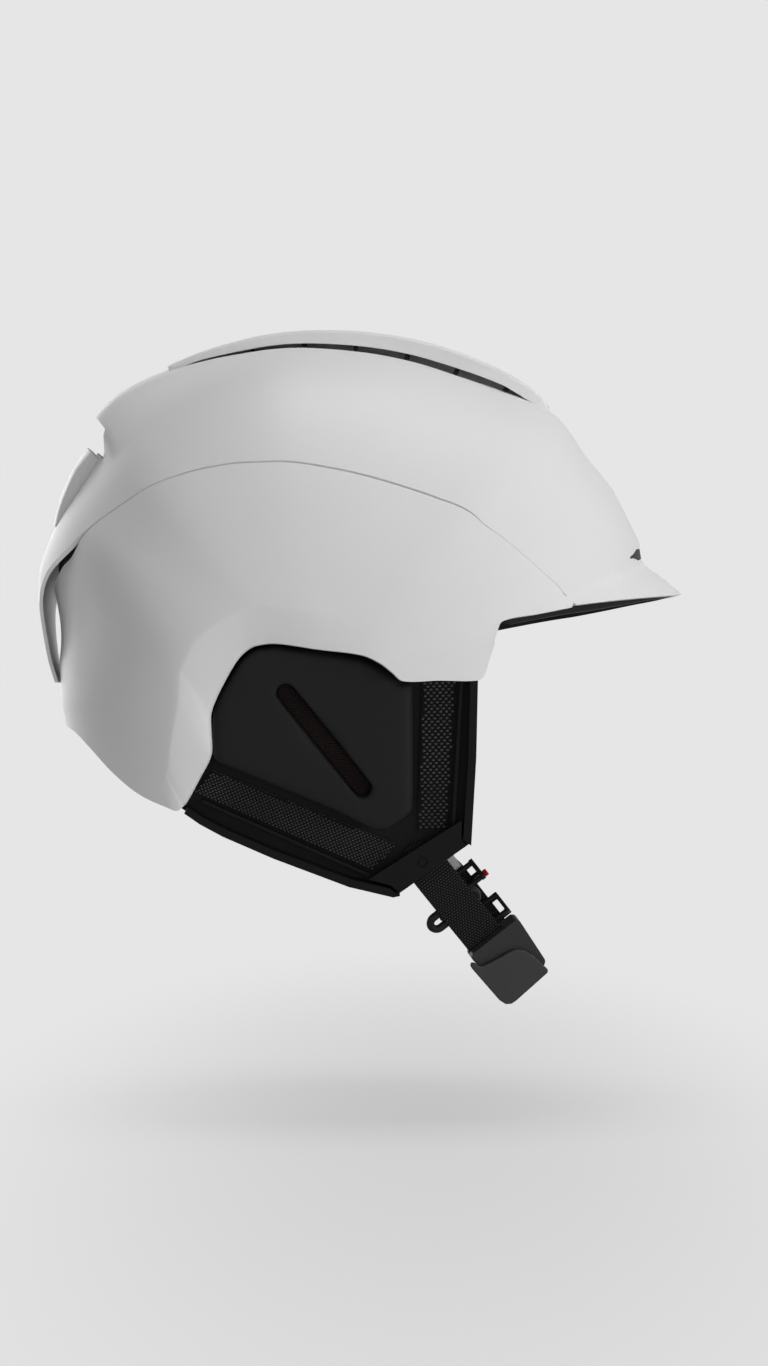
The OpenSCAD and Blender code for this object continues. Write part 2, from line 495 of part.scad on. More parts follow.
front_web = [[35.5, 11.8], [49.5, 8.8], [49.2, -16.5], [45.6, -80.5], [33, -80.5], [34.7, -16.5]];
rear_web = [[-52.6, -55.2], [-61, -63.9], [14, -97.7], [24.5, -86.6]];
module webbing(edge) color(black) ear_place() translate([0, 0, frame_top])
    linear_extrude(web_t) polygon(edge);
module front_webbing() webbing(front_web);
module rear_webbing() webbing(rear_web);

// Bridge over the strap at the frame's lower front corner, standing on two feet
bridge_foot = frame_top + 4.6;
bridge_t = 3.2;
bridge_edge = [[12.6, -100.2], [32.6, -87.2], [51.4, -75.2], [51.2, -82.6], [52.6, -86.4], [33.3, -100.4],
    [25.4, -105.8], [22, -102.8]];
rear_leg = [[16.4, -99.2], [19.6, -95.6], [23.4, -99], [21.4, -101.4]];
front_leg = [[47.4, -82.2], [50.6, -80.2], [50.4, -83.6], [48.4, -84]];
module corner_bridge() color(rubber) difference() {
    ear_place() {
        translate([0, 0, bridge_foot]) linear_extrude(bridge_t) polygon(bridge_edge);
        for (leg = [rear_leg, front_leg]) translate([0, 0, frame_top])
            linear_extrude(bridge_foot - frame_top + bridge_t / 2) polygon(leg);
    }
    rivet_at(-1) rivet_hole();
}

// Chin strap, in a frame with X down the strap, Y to the left and Z across the webbing
strap_turn = 51.7;
strap_out = pad_out - 22.2;
rivet_x = -6;
hinge_x = 3;
// The rivet sits in the middle of the bridge, and the strap starts from the rivet
rivet_pad = (bridge_edge[1] + bridge_edge[5]) / 2 + [2.13, 0.4];
rivet_level = -10;
strap_x = rivet_pad[0] - rivet_x * cos(strap_turn);
strap_z = pad_datum + rivet_pad[1] * cos(pad_tilt) - rivet_level * sin(pad_tilt)
    + rivet_x * sin(strap_turn);
module strap_place() translate([strap_x, 0, strap_z]) rotate([0, strap_turn, 0]) children();
module right_strap_place() strap_place() translate([hinge_x, -strap_out, 0])
    rotate([0, 0, strap_lean]) children();
module left_strap_place() strap_place() translate([hinge_x, strap_out, 0])
    rotate([0, 0, -strap_lean]) children();

// Each rivet is pressed into the frame and the bridge, and the strap turns on it between them
rivet_len = 8.4;
rivet_shift = 0.2;
press = 0.03;
module rivet_at(side) strap_place() translate([rivet_x, side * (strap_out + rivet_shift), 0])
    rotate([90, 0, 0]) children();
module rivet_hole() cylinder(r = rivet_r - press, h = 40, center = true);
module strap_rivets() color(metal) for (side = [-1, 1]) rivet_at(side)
    cylinder(r = rivet_r, h = rivet_len, center = true);

module stub() difference() {
    union() {
        translate([rivet_x, 0, 0]) rotate([90, 0, 0]) cylinder(r = strap_w / 2, h = web_t, center = true);
        translate([rivet_x, -web_t / 2, -strap_w / 2]) cube([hinge_x - rivet_x, web_t, strap_w]);
    }
    translate([rivet_x, 0, 0]) rotate([90, 0, 0]) cylinder(r = rivet_r + strap_play, h = 9, center = true);
}
module strap_stub_right() color(black) strap_place() translate([0, -strap_out, 0]) stub();

hinge_gap = 0.9;
tongue_x = 37;
module chin_strap_right() color(black) right_strap_place()
    translate([hinge_gap, -web_t / 2, -strap_w / 2]) cube([tongue_x + 9.6 - hinge_gap, web_t, strap_w]);

// The far strap and what is on it sit a little further up the webbing's width
far_shift = 1.8;
// Far strap: stub, slope to the chin, bend, and the run across to the receiver's bar
bar_at = [58, 12.5];
function turn2(p, a) = [p[0] * cos(a) - p[1] * sin(a), p[0] * sin(a) + p[1] * cos(a)];
bar_point = [hinge_x, -strap_out] + turn2(bar_at, strap_lean);
bend_r = 12;
bend_reach = bend_r * tan((90 - strap_lean) / 2);
bend_corner = [bar_point[0], strap_out - (bar_point[0] - hinge_x) * tan(strap_lean)];
bend_mid = bend_corner + [-bend_r, -bend_reach];
far_path = concat([[hinge_x - 0.3, strap_out]],
    [for (k = [0 : 8]) let (a = mix(90 - strap_lean, 0, k / 8)) bend_mid + bend_r * [cos(a), sin(a)]],
    [[bar_point[0], bar_point[1] + bar_r + strap_play]]);
function path_side(p, k) = let (d = p[min(len(p) - 1, k + 1)] - p[max(0, k - 1)]) [-d[1], d[0]] / norm(d);
function band(p, half) = concat([for (k = [0 : len(p) - 1]) p[k] + half * path_side(p, k)],
    [for (k = [len(p) - 1 : -1 : 0]) p[k] - half * path_side(p, k)]);
module chin_strap_left() color(black) strap_place() {
    translate([0, strap_out, 0]) stub();
    translate([0, 0, far_shift - strap_w / 2]) linear_extrude(strap_w) {
        polygon(band(far_path, web_t / 2));
        translate(bar_point) difference() {
            circle(bar_r + strap_play + web_t);
            circle(bar_r + strap_play);
        }
    }
}
lining_t = 1.2;
module strap_lining_left() color(pale) left_strap_place()
    translate([2, -web_t / 2 - 0.15 - lining_t, far_shift - strap_w / 2 + 0.6])
        cube([10, lining_t, strap_w - 1.2]);

// Ladder lock: two bars behind the webbing, one in front, and an end plate at each side
slider_at = 18.4;
slider_half = 13.5;
slider_end = 2;
end_rim = 0.4;
bar_off = web_t / 2 + strap_play + bar_r;
bar_step = 4.2;
module slider() {
    for (p = [[0, -bar_off], [bar_step, bar_off], [-bar_step, bar_off]])
        translate([p[0], p[1], 0]) cylinder(r = bar_r, h = 2 * slider_half - 1, center = true);
    for (side = [-1, 1]) translate([0, 0, side * (slider_half - slider_end / 2)])
        linear_extrude(slider_end, center = true) hull() {
            translate([0, -bar_off]) circle(bar_r + end_rim);
            translate([bar_step, bar_off]) circle(bar_r + end_rim);
            translate([-bar_step, bar_off]) circle(bar_r + end_rim);
        }
}
module strap_slider_right() color(rubber) right_strap_place() translate([slider_at, 0, 0]) slider();
module strap_slider_left() color(rubber) left_strap_place() translate([slider_at, 0, far_shift])
    rotate([180, 0, 0]) slider();
tab_size = [3.2, 1.6, 2];
module slider_tab() color(red) left_strap_place()
    translate([slider_at + 2.2, -bar_off - tab_size[1] / 2, far_shift + slider_half]) cube(tab_size);

keeper_at = 38;
keeper_len = 11.4;
keeper_half = 12.9;
module strap_keeper() color(rubber) left_strap_place() translate([keeper_at, 0, far_shift]) difference() {
    cube([keeper_len, web_t + 3, 2 * keeper_half], center = true);
    cube([keeper_len + 1, web_t + 0.3, 2 * keeper_half - 3.4], center = true);
    cube([keeper_len - 4, web_t + 9, 2 * keeper_half - 3.4], center = true);
}

// Buckle: the tongue lies outside, the receiver behind it, and the cover plate slides on the tongue
buckle_mid = 3.4;
// The buckle is wider than the strap by this much on each side
buckle_side = 2.7;
end_half = strap_w / 2 + buckle_side;
top_half = end_half + 1.7;
cover_mid = 0.6;
tongue_out = -4.6;
tongue_in = tongue_out + tongue_t;
module plate_shape(x0, x1, half0, half1, r) hull() {
    for (side = [-1, 1]) {
        translate([x0 + r, buckle_mid + side * (half0 - r)]) circle(r);
        translate([x1 - 3, buckle_mid + side * (half1 - 3)]) circle(3);
    }
}
// Plates are drawn along the strap and across it, and rise along the strap's normal from y
module plate_at(y, h) translate([0, y + h, 0]) rotate([90, 0, 0]) linear_extrude(h) children();
cover_stem = [4, 5];
latch_travel = 4;
module buckle_tongue() color(black) right_strap_place() difference() {
    plate_at(tongue_out, tongue_t) plate_shape(tongue_x, tongue_x + tongue_len, top_half, end_half, 2.4);
    translate([tongue_x - 1, -web_t / 2, -strap_w / 2 - strap_play])
        cube([10.6, web_t, strap_w + 2 * strap_play]);
    translate([tongue_x + 13 - strap_play, tongue_out - 1, cover_mid - cover_stem[1] / 2 - strap_play])
        cube([cover_stem[0] + latch_travel + 2 * strap_play, 3.4, cover_stem[1] + 2 * strap_play]);
    translate([magnet_x, tongue_in - 2.4, buckle_mid]) rotate([-90, 0, 0])
        cylinder(r = magnet_r + 0.15, h = 4);
}
magnet_x = tongue_x + 17;
// Outline of the cover plate: a hook at its left, an arch along its top and a slanted foot
cover_edge = [[3.4, -9.9], [2, -11.2], [2.8, -12.4], [4.6, -12.6], [24.6, -12], [28, -11], [29.6, -9],
    [29.8, -6.6], [28.6, 11.4], [27.6, 12.3], [25.2, 12], [18, 11.2], [13.2, 9.6], [10.4, 7.2], [9.2, 4],
    [8.2, -2], [6.6, -8.6], [5.2, -9.8]];
module buckle_cover() color(black) right_strap_place() {
    plate_at(tongue_out - 0.3 - cover_t, cover_t)
        polygon([for (p = cover_edge) [tongue_x + p[0], cover_mid + p[1]]]);
    translate([tongue_x + 13, tongue_out - 0.4, cover_mid - cover_stem[1] / 2])
        cube([cover_stem[0], 2.2, cover_stem[1]]);
}
module tongue_magnet() color(metal) right_strap_place() translate([magnet_x, tongue_in - 2.4, buckle_mid])
    rotate([-90, 0, 0]) cylinder(r = magnet_r, h = 2.2);
receiver_face = tongue_in + strap_play;
lug_t = 2.4;
module buckle_receiver() color(black) right_strap_place() {
    difference() {
        plate_at(receiver_face, receiver_t)
            plate_shape(tongue_x + 8.5, tongue_x + tongue_len + 1.6, end_half + 0.6, end_half - 0.2, 3);
        translate([magnet_x, receiver_face - 1, buckle_mid]) rotate([-90, 0, 0])
            cylinder(r = magnet_r + 0.15, h = 3.4);
    }
    translate([bar_at[0], bar_at[1], far_shift]) cylinder(r = bar_r, h = strap_w + 2 * lug_t, center = true);
    for (side = [-1, 1]) translate([bar_at[0], 0, far_shift + side * (strap_w / 2 + strap_play + lug_t / 2)])
        translate([-2.6, receiver_face + receiver_t - 0.4, -lug_t / 2])
            cube([5.2, bar_at[1] + bar_r + 1 - receiver_face - receiver_t + 0.4, lug_t]);
}
module receiver_magnet() color(metal) right_strap_place()
    translate([magnet_x, receiver_face + 0.2, buckle_mid])
    rotate([-90, 0, 0]) cylinder(r = magnet_r, h = 2.2);

// Fit dial at the nape: the pinion drives two racks that slide round the head's upright axis
head_x = -14;
dial_z = -54;
teeth = 12;
tooth_h = [0.75, 1];
// Half width of a tooth at its tip and at its root, which runs a little into the bar
tooth_half = [0.34, 0.84];
tooth_root = tooth_h[1] + 0.3;
module head_axis() translate([head_x, 0, 0]) children();
module arc_bar(r0, r1, z0, z1, from, to)
    rotate([0, 0, 180 + from]) rotate_extrude(angle = to - from, $fn = 180)
        translate([r0, z0]) square([r1 - r0, z1 - z0]);
nape_x = mid_x - curve(profile, 178) - liner_foot;
rack_r = head_x - nape_x - rack_gap;
tooth_arc = 360 * pinion_r / teeth / rack_r;
rack_in = rack_r - rack_t / 2;
rack_out = rack_r + rack_t / 2;
rack_root = pinion_r + tooth_h[1];
rack_reach = [-16, 56];
// Racks and guides are drawn above the dial for the right side; the left side's are turned over below it
module rack() head_axis() {
    arc_bar(rack_in, rack_out, rack_root, rack_root + rack_h, rack_reach[0], rack_reach[1]);
    for (k = [-1 : 8]) rotate([0, 0, 180 + (k + 0.5) * tooth_arc]) translate([rack_in, 0, pinion_r])
        rotate([90, 0, 90]) linear_extrude(rack_t) polygon([[-tooth_half[0], -tooth_h[0]],
            [tooth_half[0], -tooth_h[0]], [tooth_half[1], tooth_root], [-tooth_half[1], tooth_root]]);
}
module upper_half() translate([0, 0, dial_z]) children();
module lower_half() translate([0, 0, dial_z]) rotate([180, 0, 0]) children();
module fit_rack_right() color(rubber) upper_half() rack();
module fit_rack_left() color(rubber) lower_half() rack();

guide_span = [33, 45];
guide_mid = (guide_span[0] + guide_span[1]) / 2;
arm_fan = 163;
module guide() head_axis() difference() {
    arc_bar(rack_in - rack_play - 1.6, rack_out + rack_play + 1.6, rack_root - 1.8 - rack_play,
        rack_root + rack_h + rack_play + 1.6, guide_span[0], guide_span[1]);
    arc_bar(rack_in - rack_play, rack_out + rack_play, rack_root - rack_play, rack_root + rack_h + rack_play,
        guide_span[0] - 2, guide_span[1] + 2);
}
// Each guide hangs on an arm from the liner's inside
module guide_arm(z) {
    tip = skin(arm_fan, 40, liner_foot + bond);
    r = rack_out + rack_play + 1.9;
    hull() {
        translate(tip) rotate([0, 0, guide_mid]) cube([1.2, 9, 6], center = true);
        translate([head_x - r * cos(guide_mid), -r * sin(guide_mid), z]) rotate([0, 0, guide_mid])
            cube([1, 9, 4], center = true);
    }
}
module band_guide_right() color(rubber) {
    upper_half() guide();
    guide_arm(dial_z + rack_root + rack_h / 2);
}
module band_guide_left() color(rubber) {
    lower_half() guide();
    left_side() guide_arm(dial_z - rack_root - rack_h / 2);
}

house_half = rack_root + rack_h + rack_play + 2.4;
house_wall = 2.4;
house_arc = 15;
house_in = rack_in - rack_play - 0.5;
house_out = rack_out + rack_play + 0.5;
shaft_r = 2.6;
hanger_top = 24;
hanger_sink = 1.8;
module fit_housing() color(rubber) translate([0, 0, dial_z]) difference() {
    union() {
        head_axis()
            arc_bar(house_out, house_out + house_wall, -house_half, house_half, -house_arc, house_arc);
        head_axis() for (z = [-house_half, house_half - 2.4])
            arc_bar(house_in, house_out + 1, z, z + 2.4, -house_arc, house_arc);
        translate([nape_x - hanger_sink, -9, house_half - 1.4])
            cube([head_x - house_out - nape_x + hanger_sink + 1.2, 18, hanger_top - house_half]);
    }
    translate([head_x - house_out + 1, 0, 0]) rotate([0, -90, 0]) cylinder(r = shaft_r + rack_play, h = 9);
}
cover_in = house_in - 2;
pivot_r = 2;
module housing_cover() color(rubber) translate([0, 0, dial_z]) difference() {
    head_axis() arc_bar(cover_in, house_in, -house_half, house_half, -house_arc, house_arc);
    translate([head_x - cover_in + 3, 0, 0]) rotate([0, -90, 0]) cylinder(r = pivot_r + rack_play, h = 9);
}
pinion_half = rack_t / 2 + 0.4;
knob_face = head_x - house_out - house_wall - 0.7;
module fit_pinion() color(metal) translate([0, 0, dial_z]) {
    translate([head_x - rack_r + pinion_half, 0, 0]) rotate([0, -90, 0]) linear_extrude(2 * pinion_half) {
        circle(pinion_r - tooth_h[1]);
        for (k = [0 : teeth - 1]) rotate(k * 360 / teeth) polygon([[pinion_r + tooth_h[0], tooth_half[0]],
            [pinion_r + tooth_h[0], -tooth_half[0]], [pinion_r - tooth_root, -tooth_half[1]],
            [pinion_r - tooth_root, tooth_half[1]]]);
    }
    translate([head_x - rack_r, 0, 0]) rotate([0, -90, 0])
        cylinder(r = shaft_r, h = head_x - rack_r - knob_face + 5);
    translate([head_x - cover_in - 0.4, 0, 0]) rotate([0, -90, 0])
        cylinder(r = pivot_r, h = rack_r - cover_in - 0.4);
}
grips = 18;
module fit_knob() color(black) translate([knob_face, 0, dial_z]) rotate([0, -90, 0]) difference() {
    union() {
        cylinder(r = knob_r, h = knob_t - 1.2);
        translate([0, 0, knob_t - 1.2]) cylinder(r1 = knob_r, r2 = knob_r - 1.2, h = 1.2);
    }
    translate([0, 0, -1]) cylinder(r = shaft_r - press, h = 6.3);
    for (k = [0 : grips - 1]) rotate(k * 360 / grips) translate([knob_r + 0.9, 0, -1])
        cylinder(r = 1.6, h = knob_t + 2, $fn = 16);
}
nape_t = 6;
module nape_pad() color(black) {
    n = 10;
    m = 8;
    puff = function (k, last) sin(180 * k / last);
    at = function (i, j, r) let (a = mix(-16, 16, j / m))
        [head_x - r * cos(a), -r * sin(a), dial_z + mix(-house_half - 1, house_half + 1, i / n)];
    grid_solid([for (i = [0 : n]) [for (j = [0 : m]) at(i, j, cover_in + 0.1)]],
        [for (i = [0 : n]) [for (j = [0 : m])
            at(i, j, cover_in - 1.6 - (nape_t - 1.2) * pow(puff(i, n) * puff(j, m), 0.4))]]);
}

module ear_panel_right() ear_panel();
module ear_panel_left() left_side() ear_panel();
module ear_mesh_right() ear_mesh();
module ear_mesh_left() left_side() ear_mesh();
module ear_foam_right() ear_foam();
module ear_foam_left() left_side() ear_foam();
module ear_frame_right() ear_frame();
module ear_frame_left() left_side() ear_frame();
module ear_ring_right() ear_ring();
module ear_ring_left() left_side() ear_ring();
module front_webbing_right() front_webbing();
module front_webbing_left() left_side() front_webbing();
module rear_webbing_right() rear_webbing();
module rear_webbing_left() left_side() rear_webbing();
module corner_bridge_right() corner_bridge();
module corner_bridge_left() left_side() corner_bridge();

upper_shell();
lower_shell();
spine_cover();
vent_grille();
tail_panel();
visor_lining();
front_vent_insert();
foam_liner();
brow_pad();
crown_pads();
ear_panel_right();
ear_panel_left();
ear_mesh_right();
ear_mesh_left();
ear_foam_right();
ear_foam_left();
ear_frame_right();
ear_frame_left();
ear_ring_right();
ear_ring_left();
front_webbing_right();
front_webbing_left();
rear_webbing_right();
rear_webbing_left();
corner_bridge_right();
corner_bridge_left();
strap_rivets();
strap_stub_right();
chin_strap_right();
chin_strap_left();
strap_lining_left();
strap_slider_right();
strap_slider_left();
slider_tab();
strap_keeper();
buckle_tongue();
buckle_cover();
tongue_magnet();
buckle_receiver();
receiver_magnet();
fit_rack_right();
fit_rack_left();
band_guide_right();
band_guide_left();
fit_housing();
housing_cover();
fit_pinion();
fit_knob();
nape_pad();
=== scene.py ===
"""Looks of a ski helmet: white shells, black ear pads, chin strap with buckle, and the fit dial inside."""
import json
import math

import bmesh
import bpy
import numpy as np
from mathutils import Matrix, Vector

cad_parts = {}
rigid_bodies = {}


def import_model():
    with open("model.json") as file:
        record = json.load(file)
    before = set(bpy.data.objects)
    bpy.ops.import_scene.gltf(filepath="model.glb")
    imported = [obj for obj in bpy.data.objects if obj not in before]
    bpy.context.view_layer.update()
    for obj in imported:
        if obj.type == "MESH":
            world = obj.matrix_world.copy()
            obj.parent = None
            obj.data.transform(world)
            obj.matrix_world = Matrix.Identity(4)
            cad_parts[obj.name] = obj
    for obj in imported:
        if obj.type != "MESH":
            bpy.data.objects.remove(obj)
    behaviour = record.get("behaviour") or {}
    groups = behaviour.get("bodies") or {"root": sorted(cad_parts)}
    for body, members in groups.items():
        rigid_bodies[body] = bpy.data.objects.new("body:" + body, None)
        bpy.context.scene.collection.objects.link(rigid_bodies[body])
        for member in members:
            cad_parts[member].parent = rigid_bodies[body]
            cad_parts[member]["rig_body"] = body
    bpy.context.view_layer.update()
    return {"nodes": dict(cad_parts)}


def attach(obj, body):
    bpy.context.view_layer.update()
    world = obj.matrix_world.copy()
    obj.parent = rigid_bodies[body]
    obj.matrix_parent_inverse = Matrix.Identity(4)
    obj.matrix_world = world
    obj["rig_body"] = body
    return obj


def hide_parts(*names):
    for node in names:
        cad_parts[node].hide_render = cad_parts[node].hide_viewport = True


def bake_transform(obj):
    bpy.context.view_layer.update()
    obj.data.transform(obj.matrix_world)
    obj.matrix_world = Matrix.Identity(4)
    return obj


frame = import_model()

# Lengths below are millimetres and angles are degrees. Meshes are made in metres.
MM = 0.001

# Shells
SHELL_HALF_W = 107
SHELL_WALL = 2.4
TAIL_WALL = 1.6
SEAM_GAP = 0.8
EAR_SCOOP = 6.3
TAIL_CHANNEL = 7.5
LIP_RISE = 10
SPINE_HALF_W = 25
SPINE_RISE = 6.7
SLOT_H = 2.6
RIB_T = 1.6
INSERT_T = 1.6
BOND = 0.3
FOAM_T = 22
UNDER_GAP = 0.6
PAD_T = 5
MID_X, MID_Z = -7, -40
FULLNESS = 0.093
INSERT_TOP = -SHELL_WALL + BOND
INSERT_FOOT = INSERT_TOP - INSERT_T
LINER_TOP = -SHELL_WALL - UNDER_GAP
LINER_FOOT = LINER_TOP - FOAM_T

# Ear pads
PAD_OUT = 97
PAD_DATUM = -20
PAD_TILT = 7.5
PANEL_T = 8.5
FRAME_TOP = -PANEL_T - 4.1
FRAME_T = 3
WEB_T = 1.6
RING_T = 9
SLOT_HALF_W = 4.1
SLOT_HALF_LEN = 25.1
SLOT_TURN = -51.5
MESH_T = 4.5

# Chin strap and buckle
STRAP_X, STRAP_Z, STRAP_TURN = 38.8, -116, 51.7
STRAP_OUT = PAD_OUT - 22.2
STRAP_LEAN = 25
STRAP_W = 17
RIVET_X, HINGE_X = -6, 3
FAR_SHIFT = 1.8
BAR_R = 1.3
STRAP_PLAY = 0.4
BAR_AT = (58, 12.5)
TONGUE_X = 37

# Fit dial
HEAD_X, DIAL_Z = -14, -54
NAPE_R = 73.7
HOUSE_HALF = 14.9

# Side profile in the middle plane: fan angle about the ear axis, radius
PROFILE = [(-30, 138), (0, 157), (15, 162), (16.4, 160), (19, 155.3), (20.6, 152), (21.8, 150.5),
           (23.7, 151.7), (25.7, 152.5), (28.8, 152.7), (32, 153.3), (35.5, 154.2), (38, 154), (41, 153.8),
           (44, 154.9), (47, 156.6), (50, 157.5), (54, 156.5), (58.5, 154), (64, 152), (70, 151), (86, 151),
           (99, 153), (104, 152.6), (111, 151.2), (116, 150.3), (122, 149.4), (126, 148.7), (130, 147),
           (133, 144.8), (136, 142.5),
           (141, 140.2), (146, 139.2), (151, 137.5), (156, 136), (160, 133.4), (165, 128.6),
           (169, 125), (174, 121.2), (179, 117.4), (184, 115.4), (187, 114.8), (200, 114), (230, 112)]
# Upper shell's edge: fan angle, roll angle from the right ear axis
SEAM = [(15, 43.5), (18.6, 43.5), (20.8, 44), (23, 43.2), (26.5, 41.3), (30.2, 40), (35.4, 38.2),
        (40.9, 37.3), (47, 35.7), (64, 35.1), (77, 35), (93, 36.1), (104, 37.8), (111, 39.9), (116, 41.5),
        (122, 43.6), (126, 45.2), (130, 47.3), (137.4, 52.2), (143.3, 56.3), (149.5, 60), (153.7, 63.5),
        (157, 67), (160.3, 71), (164, 75), (170, 79), (179.5, 82)]
# How far the tail is flattened straight across the back: fan angle, share
TAIL_FLAT = [(140, 0), (146, 0.03), (153.7, 0.16), (157, 0.26), (160.3, 0.34), (164, 0.48),
             (168, 0.5), (180, 0.5)]
# Edge of the vent openings: fan angle, distance beyond the spine's edge
VENT_SIDE = [(15, 18), (24, 16), (34, 12), (46, 1), (56, -5), (66, 1), (74, 1.6), (96, 1.6), (104, 1),
             (114.5, -5.5), (122, 5), (131, 14), (140, 8), (150, 2), (160, -5), (170, -11), (180, -14)]
BRIM_TH, BRIM_SWEEP, BRIM_ROWS = 15.1, 3.6, 4
VENT_TH = (22.4, 24.6)
SLOT_TH = (56, 114.5)
GATE_TH = (129.8, 133.6)
TAIL_START, TAIL_TH = 149.5, 178.2


def mix(a, b, t):
    return a + (b - a) * t


def ease(a, b, x):
    t = np.clip((np.asarray(x, float) - a) / (b - a), 0, 1)
    return t * t * (3 - 2 * t)


def hermite(t, h, a, b, slope_a, slope_b):
    """Cubic from a to b over the length h, read at the share t."""
    return ((2 * t**3 - 3 * t**2 + 1) * a + (t**3 - 2 * t**2 + t) * h * slope_a
            + (3 * t**2 - 2 * t**3) * b + (t**3 - t**2) * h * slope_b)


def curve(points, x):
    """Smooth curve through the points, read at x."""
    p = np.asarray(points, float)
    xs, ys = p[:, 0], p[:, 1]
    last = len(p) - 1
    low, high = np.maximum(np.arange(last + 1) - 1, 0), np.minimum(np.arange(last + 1) + 1, last)
    slopes = (ys[high] - ys[low]) / (xs[high] - xs[low])
    x = np.clip(np.asarray(x, float), xs[0], xs[-1])
    i = np.clip(np.searchsorted(xs, x, side="right") - 1, 0, last - 1)
    h = xs[i + 1] - xs[i]
    t = (x - xs[i]) / h
    return hermite(t, h, ys[i], ys[i + 1], slopes[i], slopes[i + 1])


def spans(stations, fine=1):
    """Values spread evenly between stations, each station with its count of steps."""
    found = []
    for (a, count), (b, _) in zip(stations[:-1], stations[1:]):
        found += [mix(a, b, k / (count * fine)) for k in range(count * fine)]
    return np.array(found + [stations[-1][0]])


def near_roll(ps):
    return np.minimum(ps, 180 - ps)


def cosd(a):
    return np.cos(np.radians(a))


def sind(a):
    return np.sin(np.radians(a))


def roll_of(c):
    """Roll angle at which the dome's section has the share c of its profile radius."""
    c = np.minimum(c, 1)
    u = c / (1 + FULLNESS)
    for _ in range(6):
        u = u - (u * (1 + FULLNESS - FULLNESS * u * u) - c) / (1 + FULLNESS - 3 * FULLNESS * u * u)
    return np.degrees(np.arcsin(np.minimum(1, u)))


def roll_at(y):
    """Roll angle at which the dome is y away from the middle plane."""
    return 90 - np.degrees(np.arcsin(np.asarray(y, float) / SHELL_HALF_W / (1 + FULLNESS * 0.9)))


def skin(th, ps, off=0, flat=0):
    """Points of the dome at fan and roll angles, moved out by off and flattened across the back."""
    th, ps, off, flat = np.broadcast_arrays(th, ps, off, flat)
    across = sind(ps) * (1 + FULLNESS * cosd(ps)**2)
    side = cosd(ps) * (1 + FULLNESS * sind(ps)**2)
    r = (curve(PROFILE, th) + off) * mix(across, 1, flat)
    return np.stack([MID_X + r * cosd(th), -(SHELL_HALF_W + off) * side, MID_Z + r * sind(th)], -1)


def turned(points, axis, angle):
    c, s = cosd(angle), sind(angle)
    x, y, z = points[..., 0], points[..., 1], points[..., 2]
    parts = {"x": (x, y * c - z * s, y * s + z * c), "y": (x * c + z * s, y, z * c - x * s),
             "z": (x * c - y * s, x * s + y * c, z)}
    return np.stack(parts[axis], -1)


def ear_place(points):
    """From the ear pad's frame (X forward, Y up the pad, Z outward) to the helmet's right side."""
    return turned(np.asarray(points, float), "x", 90 + PAD_TILT) + (0, -PAD_OUT, PAD_DATUM)


def strap_place(points):
    """From the strap's frame (X down the strap, Y to the left, Z across the webbing) to the helmet."""
    return turned(np.asarray(points, float), "y", STRAP_TURN) + (STRAP_X, 0, STRAP_Z)


def right_strap_place(points):
    return strap_place(turned(np.asarray(points, float), "z", STRAP_LEAN) + (HINGE_X, -STRAP_OUT, 0))


def left_strap_place(points):
    return strap_place(turned(np.asarray(points, float), "z", -STRAP_LEAN) + (HINGE_X, STRAP_OUT, 0))


def mirrored(verts, faces):
    return verts * (1, -1, 1), [tuple(reversed(f)) for f in faces]


# Meshes

def add_object(name, data):
    obj = bpy.data.objects.new(name, data)
    bpy.context.scene.collection.objects.link(obj)
    return obj


def dress(obj, body, slot, *nodes):
    """Give the piece to the frame: hide the CAD nodes it stands for and put it on the body it rides on. The
    slot is not used.
    """
    if nodes:
        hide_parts(*nodes)
    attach(obj, body)


def make_piece(name, verts, faces, material):
    """New object from points in millimetres, shaded smooth, with its faces outwards."""
    used = np.unique(np.concatenate([np.asarray(f) for f in faces]))
    number = np.full(len(verts), -1)
    number[used] = np.arange(len(used))
    mesh = bpy.data.meshes.new(name)
    mesh.from_pydata((np.asarray(verts)[used] * MM).tolist(), [], [number[list(f)].tolist() for f in faces])
    mesh.validate()
    bm = bmesh.new()
    bm.from_mesh(mesh)
    if bm.calc_volume(signed=True) < 0:
        bmesh.ops.reverse_faces(bm, faces=bm.faces)
    bm.to_mesh(mesh)
    bm.free()
    mesh.shade_smooth()
    mesh.materials.append(material)
    return add_object(name, mesh)


def shell_mesh(outer, inner, gone=None):
    """Closed solid between two grids of points. Cells marked in gone are left out."""
    n, m = outer.shape[0] - 1, outer.shape[1] - 1
    there = np.ones((n, m), bool) if gone is None else ~gone
    a = np.arange((n + 1) * (m + 1)).reshape(n + 1, m + 1)
    b = a + a.size
    faces = []
    for i in range(n):
        for j in range(m):
            if not there[i, j]:
                continue
            faces.append((a[i, j], a[i, j + 1], a[i + 1, j + 1], a[i + 1, j]))
            faces.append((b[i, j], b[i + 1, j], b[i + 1, j + 1], b[i, j + 1]))
            sides = ((j > 0 and there[i, j - 1], (i, j), (i + 1, j)),
                     (i < n - 1 and there[i + 1, j], (i + 1, j), (i + 1, j + 1)),
                     (j < m - 1 and there[i, j + 1], (i + 1, j + 1), (i, j + 1)),
                     (i > 0 and there[i - 1, j], (i, j + 1), (i, j)))
            for closed, p, q in sides:
                if not closed:
                    faces.append((b[q], b[p], a[p], a[q]))
    return np.concatenate([outer.reshape(-1, 3), inner.reshape(-1, 3)]), faces


def ring_mesh(loops):
    """Closed ring: each loop of points is joined to the next one, and the last to the first."""
    loops = np.asarray(loops)
    count, n = loops.shape[:2]
    faces = []
    for l in range(count):
        for k in range(n):
            nk, nl = (k + 1) % n, (l + 1) % count
            faces.append((l * n + k, l * n + nk, nl * n + nk, nl * n + k))
    return loops.reshape(-1, 3), faces


